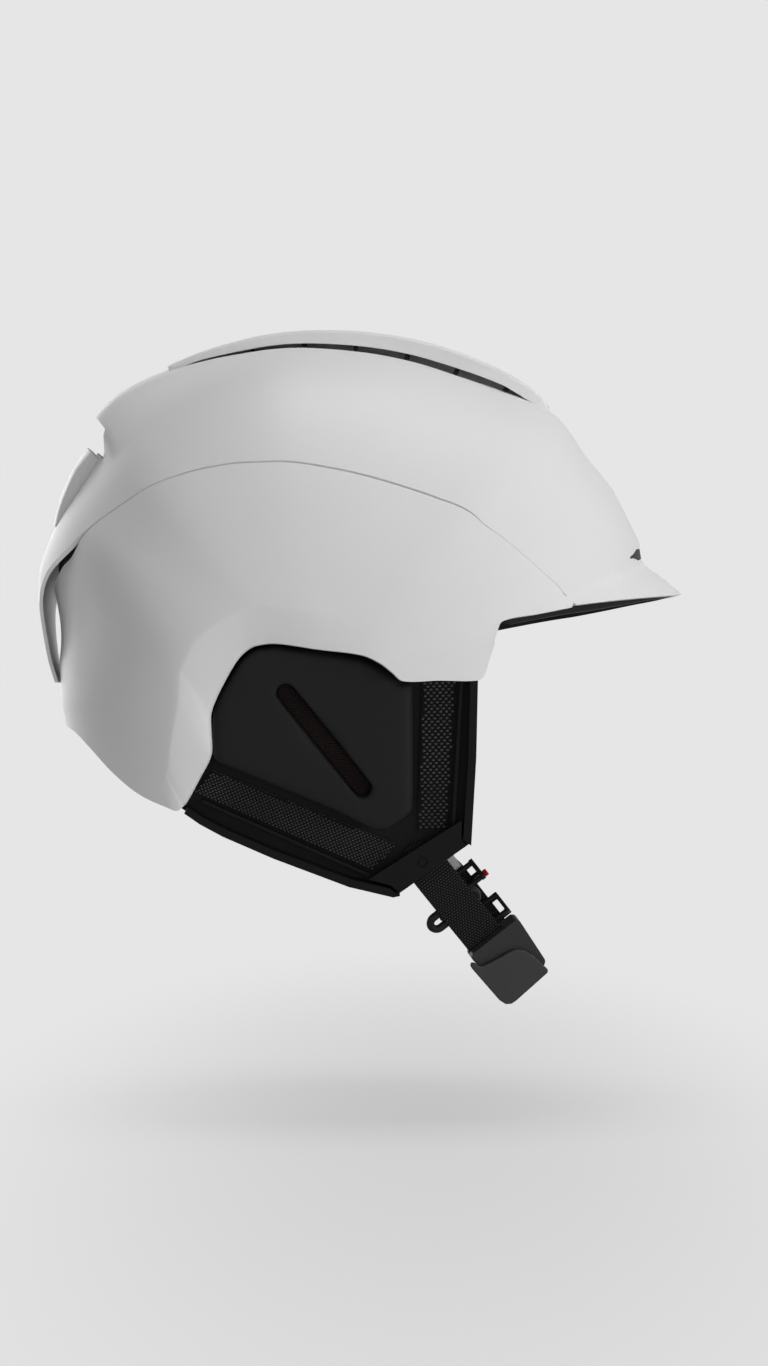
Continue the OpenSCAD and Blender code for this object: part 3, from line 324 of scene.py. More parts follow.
def slab_mesh(outline, z0, z1):
    """Flat slab over an outline."""
    n = len(outline)
    verts = np.array([(x, y, z) for z in (z0, z1) for x, y in outline])
    faces = [tuple(range(n - 1, -1, -1)), tuple(range(n, 2 * n))]
    faces += [(k, (k + 1) % n, n + (k + 1) % n, n + k) for k in range(n)]
    return verts, faces


def rounded_outline(points, radius, steps=4, step=0):
    """Outline with its corners rounded, and its long sides cut into steps where step is given."""
    most = 0.45
    p = np.asarray(points, float)
    found = []
    for k in range(len(p)):
        before, here, after = p[k - 1], p[k], p[(k + 1) % len(p)]
        a, b = before - here, after - here
        cut = min(radius, most * np.linalg.norm(a), most * np.linalg.norm(b))
        start, end = here + a / np.linalg.norm(a) * cut, here + b / np.linalg.norm(b) * cut
        for t in np.linspace(0, 1, steps + 1):
            found.append((1 - t)**2 * start + 2 * t * (1 - t) * here + t**2 * end)
        if step:
            gap = after - end
            reach = np.linalg.norm(gap) - min(radius, most * np.linalg.norm(b))
            for s in range(1, int(reach / step)):
                found.append(end + gap / np.linalg.norm(gap) * reach * s / int(reach / step))
    return np.array(found)


def add_bevel(obj, width, angle=40, segments=3):
    bevel = obj.modifiers.new("rounded_edges", "BEVEL")
    bevel.width = width * MM
    bevel.segments = segments
    bevel.limit_method = "ANGLE"
    bevel.angle_limit = math.radians(angle)
    bevel.use_clamp_overlap = True
    normals = obj.modifiers.new("flat_faces", "WEIGHTED_NORMAL")
    normals.keep_sharp = True


def cad_copy(node, name, material, width):
    """Copy of a CAD node, its triangles joined into faces and its edges rounded. It stands for the node."""
    same_point, same_plane = 2e-6, math.radians(0.4)
    source = frame["nodes"][node]
    bm = bmesh.new()
    bm.from_mesh(source.data)
    bmesh.ops.remove_doubles(bm, verts=bm.verts, dist=same_point)
    bmesh.ops.dissolve_limit(bm, angle_limit=same_plane, verts=bm.verts, edges=bm.edges)
    mesh = bpy.data.meshes.new(name)
    bm.to_mesh(mesh)
    bm.free()
    mesh.shade_smooth()
    mesh.materials.append(material)
    obj = add_object(name, mesh)
    add_bevel(obj, width, angle=35, segments=2)
    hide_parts(node)
    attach(obj, source["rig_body"])
    return obj


# Materials

def new_material(name, color, roughness):
    mat = bpy.data.materials.new(name)
    mat.use_nodes = True
    shader = mat.node_tree.nodes["Principled BSDF"]
    shader.inputs["Base Color"].default_value = (*color, 1)
    shader.inputs["Roughness"].default_value = roughness
    return mat, mat.node_tree.nodes, mat.node_tree.links, shader


def add_node(nodes, kind, **values):
    node = nodes.new(kind)
    for key, value in values.items():
        if key in node.inputs:
            node.inputs[key].default_value = value
        else:
            setattr(node, key, value)
    return node


def object_texture(nodes, links, kind, **values):
    """Node that reads Object coordinates."""
    node = add_node(nodes, kind, **values)
    place = add_node(nodes, "ShaderNodeTexCoord")
    links.new(place.outputs["Object"], node.inputs["Vector"])
    return node


def add_ramp(nodes, links, source, target, *stops):
    """Colour ramp from source to target. Each stop is a position and a colour."""
    ramp = add_node(nodes, "ShaderNodeValToRGB")
    for element, (position, color) in zip(ramp.color_ramp.elements, stops):
        element.position = position
        element.color = (*color, 1)
    links.new(source, ramp.inputs["Fac"])
    links.new(ramp.outputs["Color"], target)


def vary_color(nodes, links, shader, source, color, spread):
    add_ramp(nodes, links, source, shader.inputs["Base Color"],
             (0.3, [c * (1 - spread) for c in color]), (0.7, [c * (1 + spread) for c in color]))


def vary_roughness(nodes, links, shader, source, low, high):
    span = add_node(nodes, "ShaderNodeMapRange")
    span.inputs["To Min"].default_value = low
    span.inputs["To Max"].default_value = high
    links.new(source, span.inputs["Value"])
    links.new(span.outputs["Result"], shader.inputs["Roughness"])


def add_bump(nodes, links, shader, source, depth, strength=1.0):
    bump = add_node(nodes, "ShaderNodeBump", Strength=strength, Distance=depth * MM)
    links.new(source, bump.inputs["Height"])
    links.new(bump.outputs["Normal"], shader.inputs["Normal"])


def moulded(name, color, roughness, grain, depth, specular, spread=0.06):
    """Moulded plastic or rubber: fine grain, slight changes of tone and gloss."""
    mat, nodes, links, shader = new_material(name, color, roughness)
    gloss_change = 0.06
    fine = object_texture(nodes, links, "ShaderNodeTexNoise", Scale=1 / (grain * MM), Detail=3.0)
    broad = object_texture(nodes, links, "ShaderNodeTexNoise", Scale=28.0, Detail=3.0)
    vary_color(nodes, links, shader, broad.outputs["Fac"], color, spread)
    vary_roughness(nodes, links, shader, broad.outputs["Fac"], roughness - gloss_change,
                   roughness + gloss_change)
    add_bump(nodes, links, shader, fine.outputs["Fac"], depth)
    shader.inputs["Specular IOR Level"].default_value = specular
    return mat


def woven(name, color, pitch, depth, spread=0.35):
    """Fabric: two crossing sets of threads in Object coordinates."""
    waves_per_unit = 3.2
    mat, nodes, links, shader = new_material(name, color, 0.85)
    join = add_node(nodes, "ShaderNodeMath", operation="MAXIMUM")
    for k, direction in enumerate("XZ"):
        wave = object_texture(nodes, links, "ShaderNodeTexWave", bands_direction=direction,
                              Scale=1 / (pitch * MM) / waves_per_unit, Distortion=0.6)
        links.new(wave.outputs["Fac"], join.inputs[k])
    vary_color(nodes, links, shader, join.outputs[0], color, spread)
    add_bump(nodes, links, shader, join.outputs[0], depth)
    shader.inputs["Sheen Weight"].default_value = 0.12
    shader.inputs["Sheen Roughness"].default_value = 0.5
    shader.inputs["Specular IOR Level"].default_value = 0.06
    return mat


def ribbed_weave(name, low, high):
    """Strap webbing with painted shade in the hollows and a painted highlight on the floats. It reads the
    mesh's weave attribute.
    """
    mat, nodes, links, shader = new_material(name, low, 0.8)
    float_height = add_node(nodes, "ShaderNodeAttribute", attribute_name="weave")
    fuzz = object_texture(nodes, links, "ShaderNodeTexNoise", Scale=2500.0, Detail=2.0)
    # Painted shade and highlight: darker where the weave is low, paler where it is high
    add_ramp(nodes, links, float_height.outputs["Fac"], shader.inputs["Base Color"],
             (0.35, low), (0.95, high))
    add_bump(nodes, links, shader, fuzz.outputs["Fac"], 0.06)
    shader.inputs["Specular IOR Level"].default_value = 0.06
    return mat


def beaded_foam(name, color):
    """Expanded foam: rounded beads pressed together."""
    mat, nodes, links, shader = new_material(name, color, 0.8)
    beads = object_texture(nodes, links, "ShaderNodeTexVoronoi", Scale=330.0, feature="SMOOTH_F1")
    vary_color(nodes, links, shader, beads.outputs["Distance"], color, 0.3)
    add_bump(nodes, links, shader, beads.outputs["Distance"], -0.5, 0.6)
    shader.inputs["Specular IOR Level"].default_value = 0.1
    return mat


def brushed_steel(name, color):
    """Metal with fine lines drawn along one way."""
    mat, nodes, links, shader = new_material(name, color, 0.3)
    drawn = object_texture(nodes, links, "ShaderNodeMapping", Scale=(1, 1, 40))
    lines = add_node(nodes, "ShaderNodeTexNoise", Scale=300.0, Detail=2.0)
    links.new(drawn.outputs["Vector"], lines.inputs["Vector"])
    vary_roughness(nodes, links, shader, lines.outputs["Fac"], 0.22, 0.4)
    vary_color(nodes, links, shader, lines.outputs["Fac"], color, 0.08)
    shader.inputs["Metallic"].default_value = 1.0
    return mat


shell_white = moulded("shell_white_satin", (0.80, 0.80, 0.80), 0.5, 0.5, 0.006, spread=0.008, specular=0.3)
dark_plastic = moulded("dark_grained_plastic", (0.018, 0.018, 0.019), 0.55, 0.35, 0.03, specular=0.12)
panel_black = moulded("ear_panel_black", (0.015, 0.015, 0.0153), 0.6, 0.3, 0.02, specular=0.08)
frame_black = moulded("frame_rubber_black", (0.0075, 0.0075, 0.0077), 0.55, 0.4, 0.02, specular=0.07)
buckle_grey = moulded("buckle_grained_grey", (0.044, 0.044, 0.045), 0.5, 0.3, 0.05, specular=0.14)
buckle_dark = moulded("buckle_dark", (0.032, 0.032, 0.033), 0.48, 0.3, 0.03, specular=0.14)
slider_black = moulded("slider_black", (0.012, 0.012, 0.0125), 0.45, 0.3, 0.02, specular=0.1)
tab_red = moulded("tab_red", (0.45, 0.012, 0.016), 0.45, 0.4, 0.02, specular=0.2)
pad_foam = moulded("pad_foam", (0.05, 0.05, 0.052), 0.9, 0.8, 0.2, spread=0.2, specular=0.1)
liner_foam = beaded_foam("liner_foam", (0.055, 0.055, 0.058))
lining_fabric = woven("lining_fabric", (0.022, 0.022, 0.024), 0.7, 0.12)
webbing_base = woven("webbing_base", (0.005, 0.005, 0.0052), 0.6, 0.1)
webbing_dots = moulded("webbing_dots", (0.066, 0.066, 0.067), 0.75, 0.4, 0.05, spread=0.3, specular=0.08)
webbing_fine = moulded("webbing_fine_dots", (0.06, 0.06, 0.061), 0.75, 0.4, 0.05, spread=0.3, specular=0.08)
# Strap colours: painted shade in the weave's hollows and a painted highlight on its floats
strap_weave_painted_shade = ribbed_weave("strap_weave_painted_shade", (0.004, 0.004, 0.0042), (0.045, 0.045, 0.046))
strap_pale = woven("strap_pale_lining", (0.62, 0.62, 0.6), 0.6, 0.06, spread=0.08)
knit_base = woven("knit_base", (0.005, 0.004, 0.004), 0.6, 0.1)
knit_loops = moulded("knit_loops", (0.02, 0.012, 0.012), 0.8, 0.3, 0.05, spread=0.35, specular=0.06)
thread_grey = moulded("stitch_thread", (0.06, 0.06, 0.062), 0.7, 0.2, 0.03, specular=0.1)
steel = brushed_steel("brushed_steel", (0.55, 0.55, 0.57))


# Geometry Nodes: one small shape set on every point, turned to face outwards

def scatter_tree():
    tree = bpy.data.node_groups.new("set_on_points", "GeometryNodeTree")
    face = tree.interface
    face.new_socket(name="Geometry", in_out="INPUT", socket_type="NodeSocketGeometry")
    for label, kind in (("Shape", "NodeSocketObject"), ("Size", "NodeSocketVector"),
                        ("Lift", "NodeSocketFloat"), ("Finish", "NodeSocketMaterial")):
        face.new_socket(name=label, in_out="INPUT", socket_type=kind)
    face.new_socket(name="Geometry", in_out="OUTPUT", socket_type="NodeSocketGeometry")
    nodes, links = tree.nodes, tree.links
    start = nodes.new("NodeGroupInput")
    end = nodes.new("NodeGroupOutput")
    shape = nodes.new("GeometryNodeObjectInfo")
    links.new(start.outputs["Shape"], shape.inputs["Object"])
    turn = None
    for attribute, axis, pivot in (("facing", "Z", "AUTO"), ("along", "X", "Z")):
        read = nodes.new("GeometryNodeInputNamedAttribute")
        read.data_type = "FLOAT_VECTOR"
        read.inputs["Name"].default_value = attribute
        align = nodes.new("FunctionNodeAlignRotationToVector")
        align.axis = axis
        align.pivot_axis = pivot
        links.new(read.outputs["Attribute"], align.inputs["Vector"])
        if turn is not None:
            links.new(turn.outputs["Rotation"], align.inputs["Rotation"])
        turn = align
    place = nodes.new("GeometryNodeInstanceOnPoints")
    links.new(start.outputs["Geometry"], place.inputs["Points"])
    links.new(shape.outputs["Geometry"], place.inputs["Instance"])
    links.new(turn.outputs["Rotation"], place.inputs["Rotation"])
    links.new(start.outputs["Size"], place.inputs["Scale"])
    up = nodes.new("ShaderNodeCombineXYZ")
    links.new(start.outputs["Lift"], up.inputs["Z"])
    lift = nodes.new("GeometryNodeTranslateInstances")
    links.new(place.outputs["Instances"], lift.inputs["Instances"])
    links.new(up.outputs["Vector"], lift.inputs["Translation"])
    real = nodes.new("GeometryNodeRealizeInstances")
    links.new(lift.outputs["Instances"], real.inputs["Geometry"])
    paint = nodes.new("GeometryNodeSetMaterial")
    links.new(real.outputs["Geometry"], paint.inputs["Geometry"])
    links.new(start.outputs["Finish"], paint.inputs["Material"])
    links.new(paint.outputs["Geometry"], end.inputs["Geometry"])
    return tree


set_on_points = scatter_tree()


def scatter(name, points, facing, along, shape, size, lift, material):
    """Plain mesh of one shape set on every point. Points and sizes are millimetres."""
    mesh = bpy.data.meshes.new(name + "_points")
    mesh.from_pydata((np.asarray(points) * MM).tolist(), [], [])
    for label, vectors in (("facing", facing), ("along", along)):
        data = np.broadcast_to(np.asarray(vectors, np.float32), (len(points), 3))
        mesh.attributes.new(label, "FLOAT_VECTOR", "POINT").data.foreach_set("vector", data.ravel())
    seat = add_object(name + "_points", mesh)
    modifier = seat.modifiers.new("set_on_points", "NODES")
    modifier.node_group = set_on_points
    values = {"Shape": shape, "Size": size, "Lift": lift * MM, "Finish": material}
    for item in set_on_points.interface.items_tree:
        if item.in_out == "INPUT" and item.name in values:
            modifier[item.identifier] = values[item.name]
    seat.update_tag()
    bpy.context.view_layer.update()
    graph = bpy.context.evaluated_depsgraph_get()
    made = bpy.data.meshes.new_from_object(seat.evaluated_get(graph))
    made.name = name
    made.shade_smooth()
    bpy.data.objects.remove(seat)
    return add_object(name, made)


def bead_shape():
    """Unit bead that the tree scales: 1 mm half sizes."""
    bm = bmesh.new()
    bmesh.ops.create_uvsphere(bm, u_segments=8, v_segments=4, radius=MM)
    mesh = bpy.data.meshes.new("bead_shape")
    bm.to_mesh(mesh)
    bm.free()
    return add_object("bead_shape", mesh)


bead = bead_shape()
shapes_used = [bead]


# Shells

def lip(th, ps):
    return ease(98, 129, th) * (1 - ease(*GATE_TH, th)) * ease(62, 76, near_roll(ps))


def vent_roll(th):
    return roll_at(SPINE_HALF_W + curve(VENT_SIDE, th))


def half_rolls(edge, vent, shares):
    """Roll angles of one side: from the edge to the opening at share 1, then over the top to share 2."""
    return np.where(shares <= 1, mix(edge, vent, np.minimum(shares, 1)),
                    mix(vent, 180 - vent, np.maximum(shares - 1, 0)))


def upper_shell():
    """Dome with the brim, the openings along the crown and the tail."""
    fine, side_cells, mid_cells = 4, 42, 20
    stations = [(BRIM_TH, BRIM_ROWS), (VENT_TH[0], 1), (VENT_TH[1], 8), (SLOT_TH[0], 13), (SLOT_TH[1], 4),
                (GATE_TH[0], 1), (GATE_TH[1], 5), (TAIL_START, 9), (TAIL_TH, 0)]
    ths = spans(stations, fine)
    shares = np.concatenate([np.linspace(0, 1, side_cells + 1)[:-1], np.linspace(1, 2, mid_cells + 1)])
    rolls = []
    for th in ths:
        half = half_rolls(curve(SEAM, th), vent_roll(th), shares)
        rolls.append(np.concatenate([half, 180 - half[:side_cells][::-1]]))
    ps = np.array(rolls)
    sweep = np.maximum(0, 1 - np.arange(len(ths)) / (BRIM_ROWS * fine)) * BRIM_SWEEP
    inward = (near_roll(ps) - SEAM[0][1]) / (90 - SEAM[0][1])
    th = ths[:, None] + sweep[:, None] * np.maximum(0, 1 - inward)**2.6
    # The front vent closes to a point at its ends: rows near it are drawn to its middle
    vent_mid, vent_end, taper, pull = sum(VENT_TH) / 2, vent_roll(VENT_TH[1]), 9, 0.85
    row_half, row_fade = 1.2, 4
    beside = 1 - ease(0, taper, near_roll(ps) - vent_end)
    close = np.clip(1 - np.maximum(0, np.abs(ths - vent_mid) - row_half) / row_fade, 0, 1)[:, None]
    th = mix(th, vent_mid, pull * beside * close * (near_roll(ps) > vent_end - taper))
    flat = curve(TAIL_FLAT, th)
    lip_wall = 2.4
    wall = mix(SHELL_WALL, TAIL_WALL, ease(147, 160, th)) + lip_wall * lip(th, ps)
    rise = LIP_RISE * lip(th, ps)
    gone = np.zeros((len(ths) - 1, ps.shape[1] - 1), bool)
    middle = (ths[:-1] + ths[1:]) / 2
    for low, high in (VENT_TH, SLOT_TH, GATE_TH):
        gone[(middle > low) & (middle < high), side_cells:side_cells + mid_cells] = True
    return shell_mesh(skin(th, ps, rise, flat), skin(th, ps, rise - wall, flat), gone)


# Lower edge in the side view, from the brim's corner to the middle of the back
LOWER_EDGE = [(97.4, -4.9), (83.6, -7.7), (68.2, -10.9), (65.6, -15.9), (62.7, -25.8), (60.2, -33.6),
              (57.7, -35.5), (42, -35.5), (26.8, -35.7), (22.2, -32), (17.3, -28.3), (9.9, -25),
              (-8.2, -22.6), (-25.9, -20.1), (-34.1, -20.9), (-38.2, -22.9), (-42.4, -27.1),
              (-47, -34.5), (-51.6, -43.5), (-53.7, -49.7), (-53.7, -58), (-53.8, -67.1), (-59, -77.5),
              (-64.7, -87.6), (-67.4, -89.9), (-70.4, -89.1), (-83.4, -83.5), (-94.4, -75.3),
              (-105.9, -64.1), (-113.4, -57.5), (-120.9, -54)]
# Fan angles of the matching points on the top edge
LOWER_TOP = [19.5, 23, 27, 31.5, 37, 43, 48.5, 55, 62, 66.5, 71.5, 77.4, 90.5, 102, 109.5, 115, 121,
             126, 131, 135, 139, 142.5, 146, 148.5, 150, 151.5, 153.5, 156, 158.5, 159.6, 160]
# Top edge where it runs under the tail: fan angle, roll angle
UNDER_TAIL = [(148.5, 58.6), (150, 59.4), (152, 61.4), (154, 65), (156.5, 70), (158.5, 77), (159.6, 84),
              (160, 90)]
# Channel under the tail: fan angle, share of its depth
CHANNEL_SHARE = [(147, 0), (150, 0.1), (153, 0.36), (154, 0.42), (156, 0.6), (158, 0.82), (160, 1),
                 (162, 1.1), (166, 1.1), (170.6, 0.86), (174, 0.56), (178, 0.28), (180.5, 0.1), (183, 0)]
# Hollow round the ear opening: point number along the edge, share of its depth, and its width
SCOOP_SHARE = [(0, 0), (10, 0), (11, 0.08), (12, 0.3), (13, 0.55), (14, 0.67), (16, 0.87), (18, 1),
               (20, 1), (21, 0.95), (22, 0.7), (23, 0.3), (24, 0.08), (25, 0), (30, 0)]
SCOOP_WIDTH = [(0, 0.17), (11, 0.17), (13, 0.18), (16, 0.195), (18, 0.21), (20, 0.245), (21, 0.245),
               (22, 0.19), (23, 0.14), (25, 0.13), (30, 0.13)]


def channel(th, ps):
    return TAIL_CHANNEL * curve(CHANNEL_SHARE, th) * ease(26, 60, near_roll(ps))


def disc(th, ps):
    """Fan and roll angles laid out flat, with the ear axis in the middle."""
    return np.stack([ps * cosd(th), ps * sind(th)], -1)


def fan_of(x, y):
    """Fan angle of a direction, counted on past the back."""
    fan = np.degrees(np.arctan2(y, x))
    return np.where(fan < -60, fan + 360, fan)


def through(points, x):
    """Smooth path through numbered points, read at x. Its slopes follow the spacing of the points."""
    n = len(points) - 1
    gaps = np.linalg.norm(np.diff(points, axis=0), axis=1)
    slopes = np.empty_like(points)
    slopes[1:-1] = (points[2:] - points[:-2]) / (gaps[1:] + gaps[:-1])[:, None]
    slopes[0], slopes[-1] = (points[1] - points[0]) / gaps[0], (points[-1] - points[-2]) / gaps[-1]
    k = np.clip(np.floor(x).astype(int), 0, n - 1)
    t, h = (x - k)[:, None], gaps[k][:, None]
    return hermite(t, h, points[k], points[k + 1], slopes[k], slopes[k + 1])


def lower_shell():
    """Surround between the seam and the lower edge, the same on both sides."""
    x = np.arange(0, len(LOWER_TOP) - 1 + 1e-9, 0.125)
    tops = curve(list(enumerate(LOWER_TOP)), x)
    gap = SEAM_GAP * mix(0.1, 0.5, ease(40, 62, tops))
    top_rolls = np.where(tops > UNDER_TAIL[0][0], curve(UNDER_TAIL, tops), curve(SEAM, tops) - gap)
    edge = through(np.array(LOWER_EDGE, float), x)
    fans = fan_of(edge[:, 0] - MID_X, edge[:, 1] - MID_Z)
    reach = np.hypot(edge[:, 0] - MID_X, edge[:, 1] - MID_Z)
    depth = EAR_SCOOP * curve(SCOOP_SHARE, x)
    a, b = disc(tops, top_rolls), disc(fans, roll_of(reach / (curve(PROFILE, fans) - depth)))
    cut = curve(SCOOP_WIDTH, x)
    plain, scooped, soft = 20, 14, 0.045
    rows = np.arange(plain + scooped + 1)[:, None]
    t = np.where(rows <= plain, (1 - cut) * rows / plain, 1 - cut * (plain + scooped - rows) / scooped)
    p = mix(a, b, t[..., None])
    fan = fan_of(p[..., 0], p[..., 1])
    roll = np.hypot(p[..., 0], p[..., 1])
    over = (t - (1 - cut)) / cut
    over = np.where(np.abs(over) < soft, (over + soft)**2 / (4 * soft), np.maximum(over, 0))
    sunk = depth * over + channel(fan, roll)
    both = []
    for wall in (0, SHELL_WALL):
        right = skin(fan, roll, -sunk - wall)
        both.append(np.concatenate([right, (right * (1, -1, 1))[:, -2::-1]], 1))
    return shell_mesh(*both)


# Spine cover along the crown: fan angle, share of its rise, height of its underside, change of half width
SPINE_TOP = [(51, 0.06), (54, 0.5), (58.5, 0.97), (64, 1.16), (70, 1.22), (76, 1.16), (84, 1.05),
             (92, 0.88), (99, 0.72), (104, 0.75), (111, 0.97), (116, 1.1)]
SPINE_UNDER = [(48, -BOND), (54, -BOND * 0.5), (60, SLOT_H), (72, SLOT_H), (84, 2.2), (95, 1.5), (104, 0.8),
               (111, 0.6), (114, -BOND), (117, -BOND)]
SPINE_WIDTH = [(48, -8), (56, -3), (66, 0), (100, 0), (117, -4)]
EDGE_SHARES = np.array([0, 0.02, 0.05, 0.09, 0.14, 0.22, 0.32, 0.45, 0.6, 0.8, 1])
ROUND_OFF = [(0, 1), (0.03, 0.6), (0.06, 0.38), (0.12, 0.17), (0.25, 0.05), (0.5, 0), (1, 0)]


def both_ways(shares):
    return np.concatenate([shares, (2 - shares[:-1])[::-1]])


def edge_drop(shares, depth):
    near = np.minimum(shares, 2 - shares)
    return depth * np.interp(near, [r[0] for r in ROUND_OFF], [r[1] for r in ROUND_OFF])


def spine_cover():
    th = spans([(51.5, 86), (115.8, 0)])[:, None]
    shares = both_ways(EDGE_SHARES)
    ps = mix(roll_at(SPINE_HALF_W + curve(SPINE_WIDTH, th)), 90, shares)
    top = SPINE_RISE * curve(SPINE_TOP, th) - edge_drop(shares, 0.9)
    under = curve(SPINE_UNDER, th) + LIP_RISE * lip(th, ps)
    return shell_mesh(skin(th, ps, top, 0.5), skin(th, ps, under))


def tail_panel():
    th = spans([(134.2, 36), (148.6, 0)])[:, None]
    shares = both_ways(EDGE_SHARES)
    ps = mix(curve([(134.2, 74.5), (141, 76.5), (148.6, 78)], th), 90, shares)
    rise = curve([(134.2, 5.2), (138.4, 6), (142.8, 4.4), (147, 1.9), (148.6, 1)], th)
    flat = curve(TAIL_FLAT, th)
    return shell_mesh(skin(th, ps, rise - edge_drop(shares, 0.6), flat), skin(th, ps, -BOND, flat))


def vent_grille():
    th = spans([(SLOT_TH[0] - 2, 80), (SLOT_TH[1] + 1.5, 0)])[:, None]
    inside = np.array([-3, 0, 2.4, 8, 16, SPINE_HALF_W])
    near = roll_at(np.maximum(0, SPINE_HALF_W + curve(SPINE_WIDTH, th) - inside))
    ps = np.concatenate([near, 180 - near[:, -2::-1]], 1)
    return shell_mesh(skin(th, ps, INSERT_TOP), skin(th, ps, INSERT_FOOT))


def grille_ribs():
    """Cross ribs on the grille, one curved bar set on points along the crown."""
    first, step, count, inset = 59, 8.6, 7, 2.5
    ths = first + step * np.arange(count)
    half_w = SPINE_HALF_W - inset
    across = np.linspace(-half_w, half_w, 15)
    side = np.full(len(across), -RIB_T / 2)
    drop = skin(90.0, 90 - np.sign(across) * (90 - roll_at(np.abs(across))))[:, 2] - skin(90.0, 90.0)[2]
    top = SLOT_H - 0.4
    low = np.stack([side, across, drop + INSERT_FOOT + 0.2], -1)
    high = np.stack([side, across, drop + top], -1)
    left = np.stack([low, high])
    verts, faces = shell_mesh(left, left * (-1, 1, 1))
    shape = make_piece("rib_shape", verts, faces, dark_plastic)
    shapes_used.append(shape)
    facing = np.stack([cosd(ths), np.zeros(count), sind(ths)], -1)
    along = np.stack([sind(ths), np.zeros(count), -cosd(ths)], -1)
    heights = np.minimum(curve(SPINE_UNDER, ths), SLOT_H) - SLOT_H
    points = skin(ths, 90.0, heights)
    return scatter("vent_grille_ribs", points, facing, along, shape, (1, 1, 1), 0, dark_plastic)


# Visor lining: roll angle, fan angle of its front edge and of its back edge
VISOR_EDGE = [(31, 19.5), (36, 18.4), (43.5, 17.1), (47, 16.6), (53, 16.1), (60, 15.75), (75, 15.25),
              (90, 15.35)]
VISOR_BACK = [(31, 24), (36, 21.4), (40, 19.4), (44, 19.2), (90, 19.4)]


def visor_lining():
    """Lining under the brim, with shallow ribs that follow the brim's edge."""
    rib_count, rib_depth = 4, 0.5
    share = np.linspace(0, 1, 25)[:, None]
    ps = spans([(31, 140), (149, 0)])[None, :]
    th = mix(curve(VISOR_EDGE, near_roll(ps)), curve(VISOR_BACK, near_roll(ps)), share)
    ribs = rib_depth * (0.5 - 0.5 * np.cos(2 * math.pi * rib_count * share)) * ease(31, 44, near_roll(ps))
    return shell_mesh(skin(th, ps, INSERT_TOP), skin(th, ps, INSERT_FOOT + ribs))


def front_vent_insert():
    """Dark plate behind the front vent, raised a little within the opening."""
    side = float(vent_roll(VENT_TH[1]))
    low, high = VENT_TH
    th = np.array([low - 0.8, low + 0.15, low + 0.25, high - 0.25, high - 0.15, high + 0.8])
    near = [side - 1.5, side + 0.3]
    ps = np.concatenate([near, np.linspace(side + 0.8, 179.2 - side, 50), [180 - near[1], 180 - near[0]]])
    off = np.full((len(th), len(ps)), INSERT_TOP)
    off[2:4, 2:-2] = -0.5
    return shell_mesh(skin(th[:, None], ps, off), skin(th[:, None], ps, INSERT_FOOT))


LINER_EDGE = [(20, 41), (24, 36), (30, 28), (45, 18.6), (60, 15.4), (90, 13.4), (120, 15.4), (135, 20.5),
              (150, 31), (160, 35), (170, 40.5), (178.5, 49)]
PORT_HALF_W = 16


def foam_liner():
    """Liner with ports under the crown. Its top is hollowed at the tail, the brow and the grille."""
    fine, side, side_fine = 4, 6, 5
    ths = spans([(20, 2), (27, 5), (52, 18), (119, 12), (178.5, 0)], fine)
    shares = np.concatenate([np.linspace(0, 1, side * side_fine + 1)[:-1],
                             np.linspace(1, 2, 2 * side_fine + 1)])
    half = half_rolls(curve(LINER_EDGE, ths)[:, None], roll_at(PORT_HALF_W), shares)
    ps = np.concatenate([half, 180 - half[:, :side * side_fine][:, ::-1]], 1)
    th = ths[:, None]
    near = near_roll(ps)
    hollow = (channel(th, ps) + 0.8 * ease(144, 150, th) * ease(50, 58, near)
              + 3 * (1 - ease(27, 31, th)) * ease(46, 54, near)
              + INSERT_T * ease(49, 53, th) * (1 - ease(117, 120, th)) * ease(62, 69, near))
    gone = np.zeros((len(ths) - 1, ps.shape[1] - 1), bool)
    row = np.arange(len(ths) - 1) // fine
    ports = (row >= 8) & (row < 24) & (row % 3 != 1)
    gone[ports, side * side_fine:(side + 2) * side_fine] = True
    return shell_mesh(skin(th, ps, LINER_TOP - hollow), skin(th, ps, LINER_FOOT), gone)


# Padding

SEWN_T = 1.2
CLOTH_STEPS = 20
CLOTH_PRESSURE, CLOTH_STIFFNESS, CLOTH_BENDING = 4, 12, 0.4


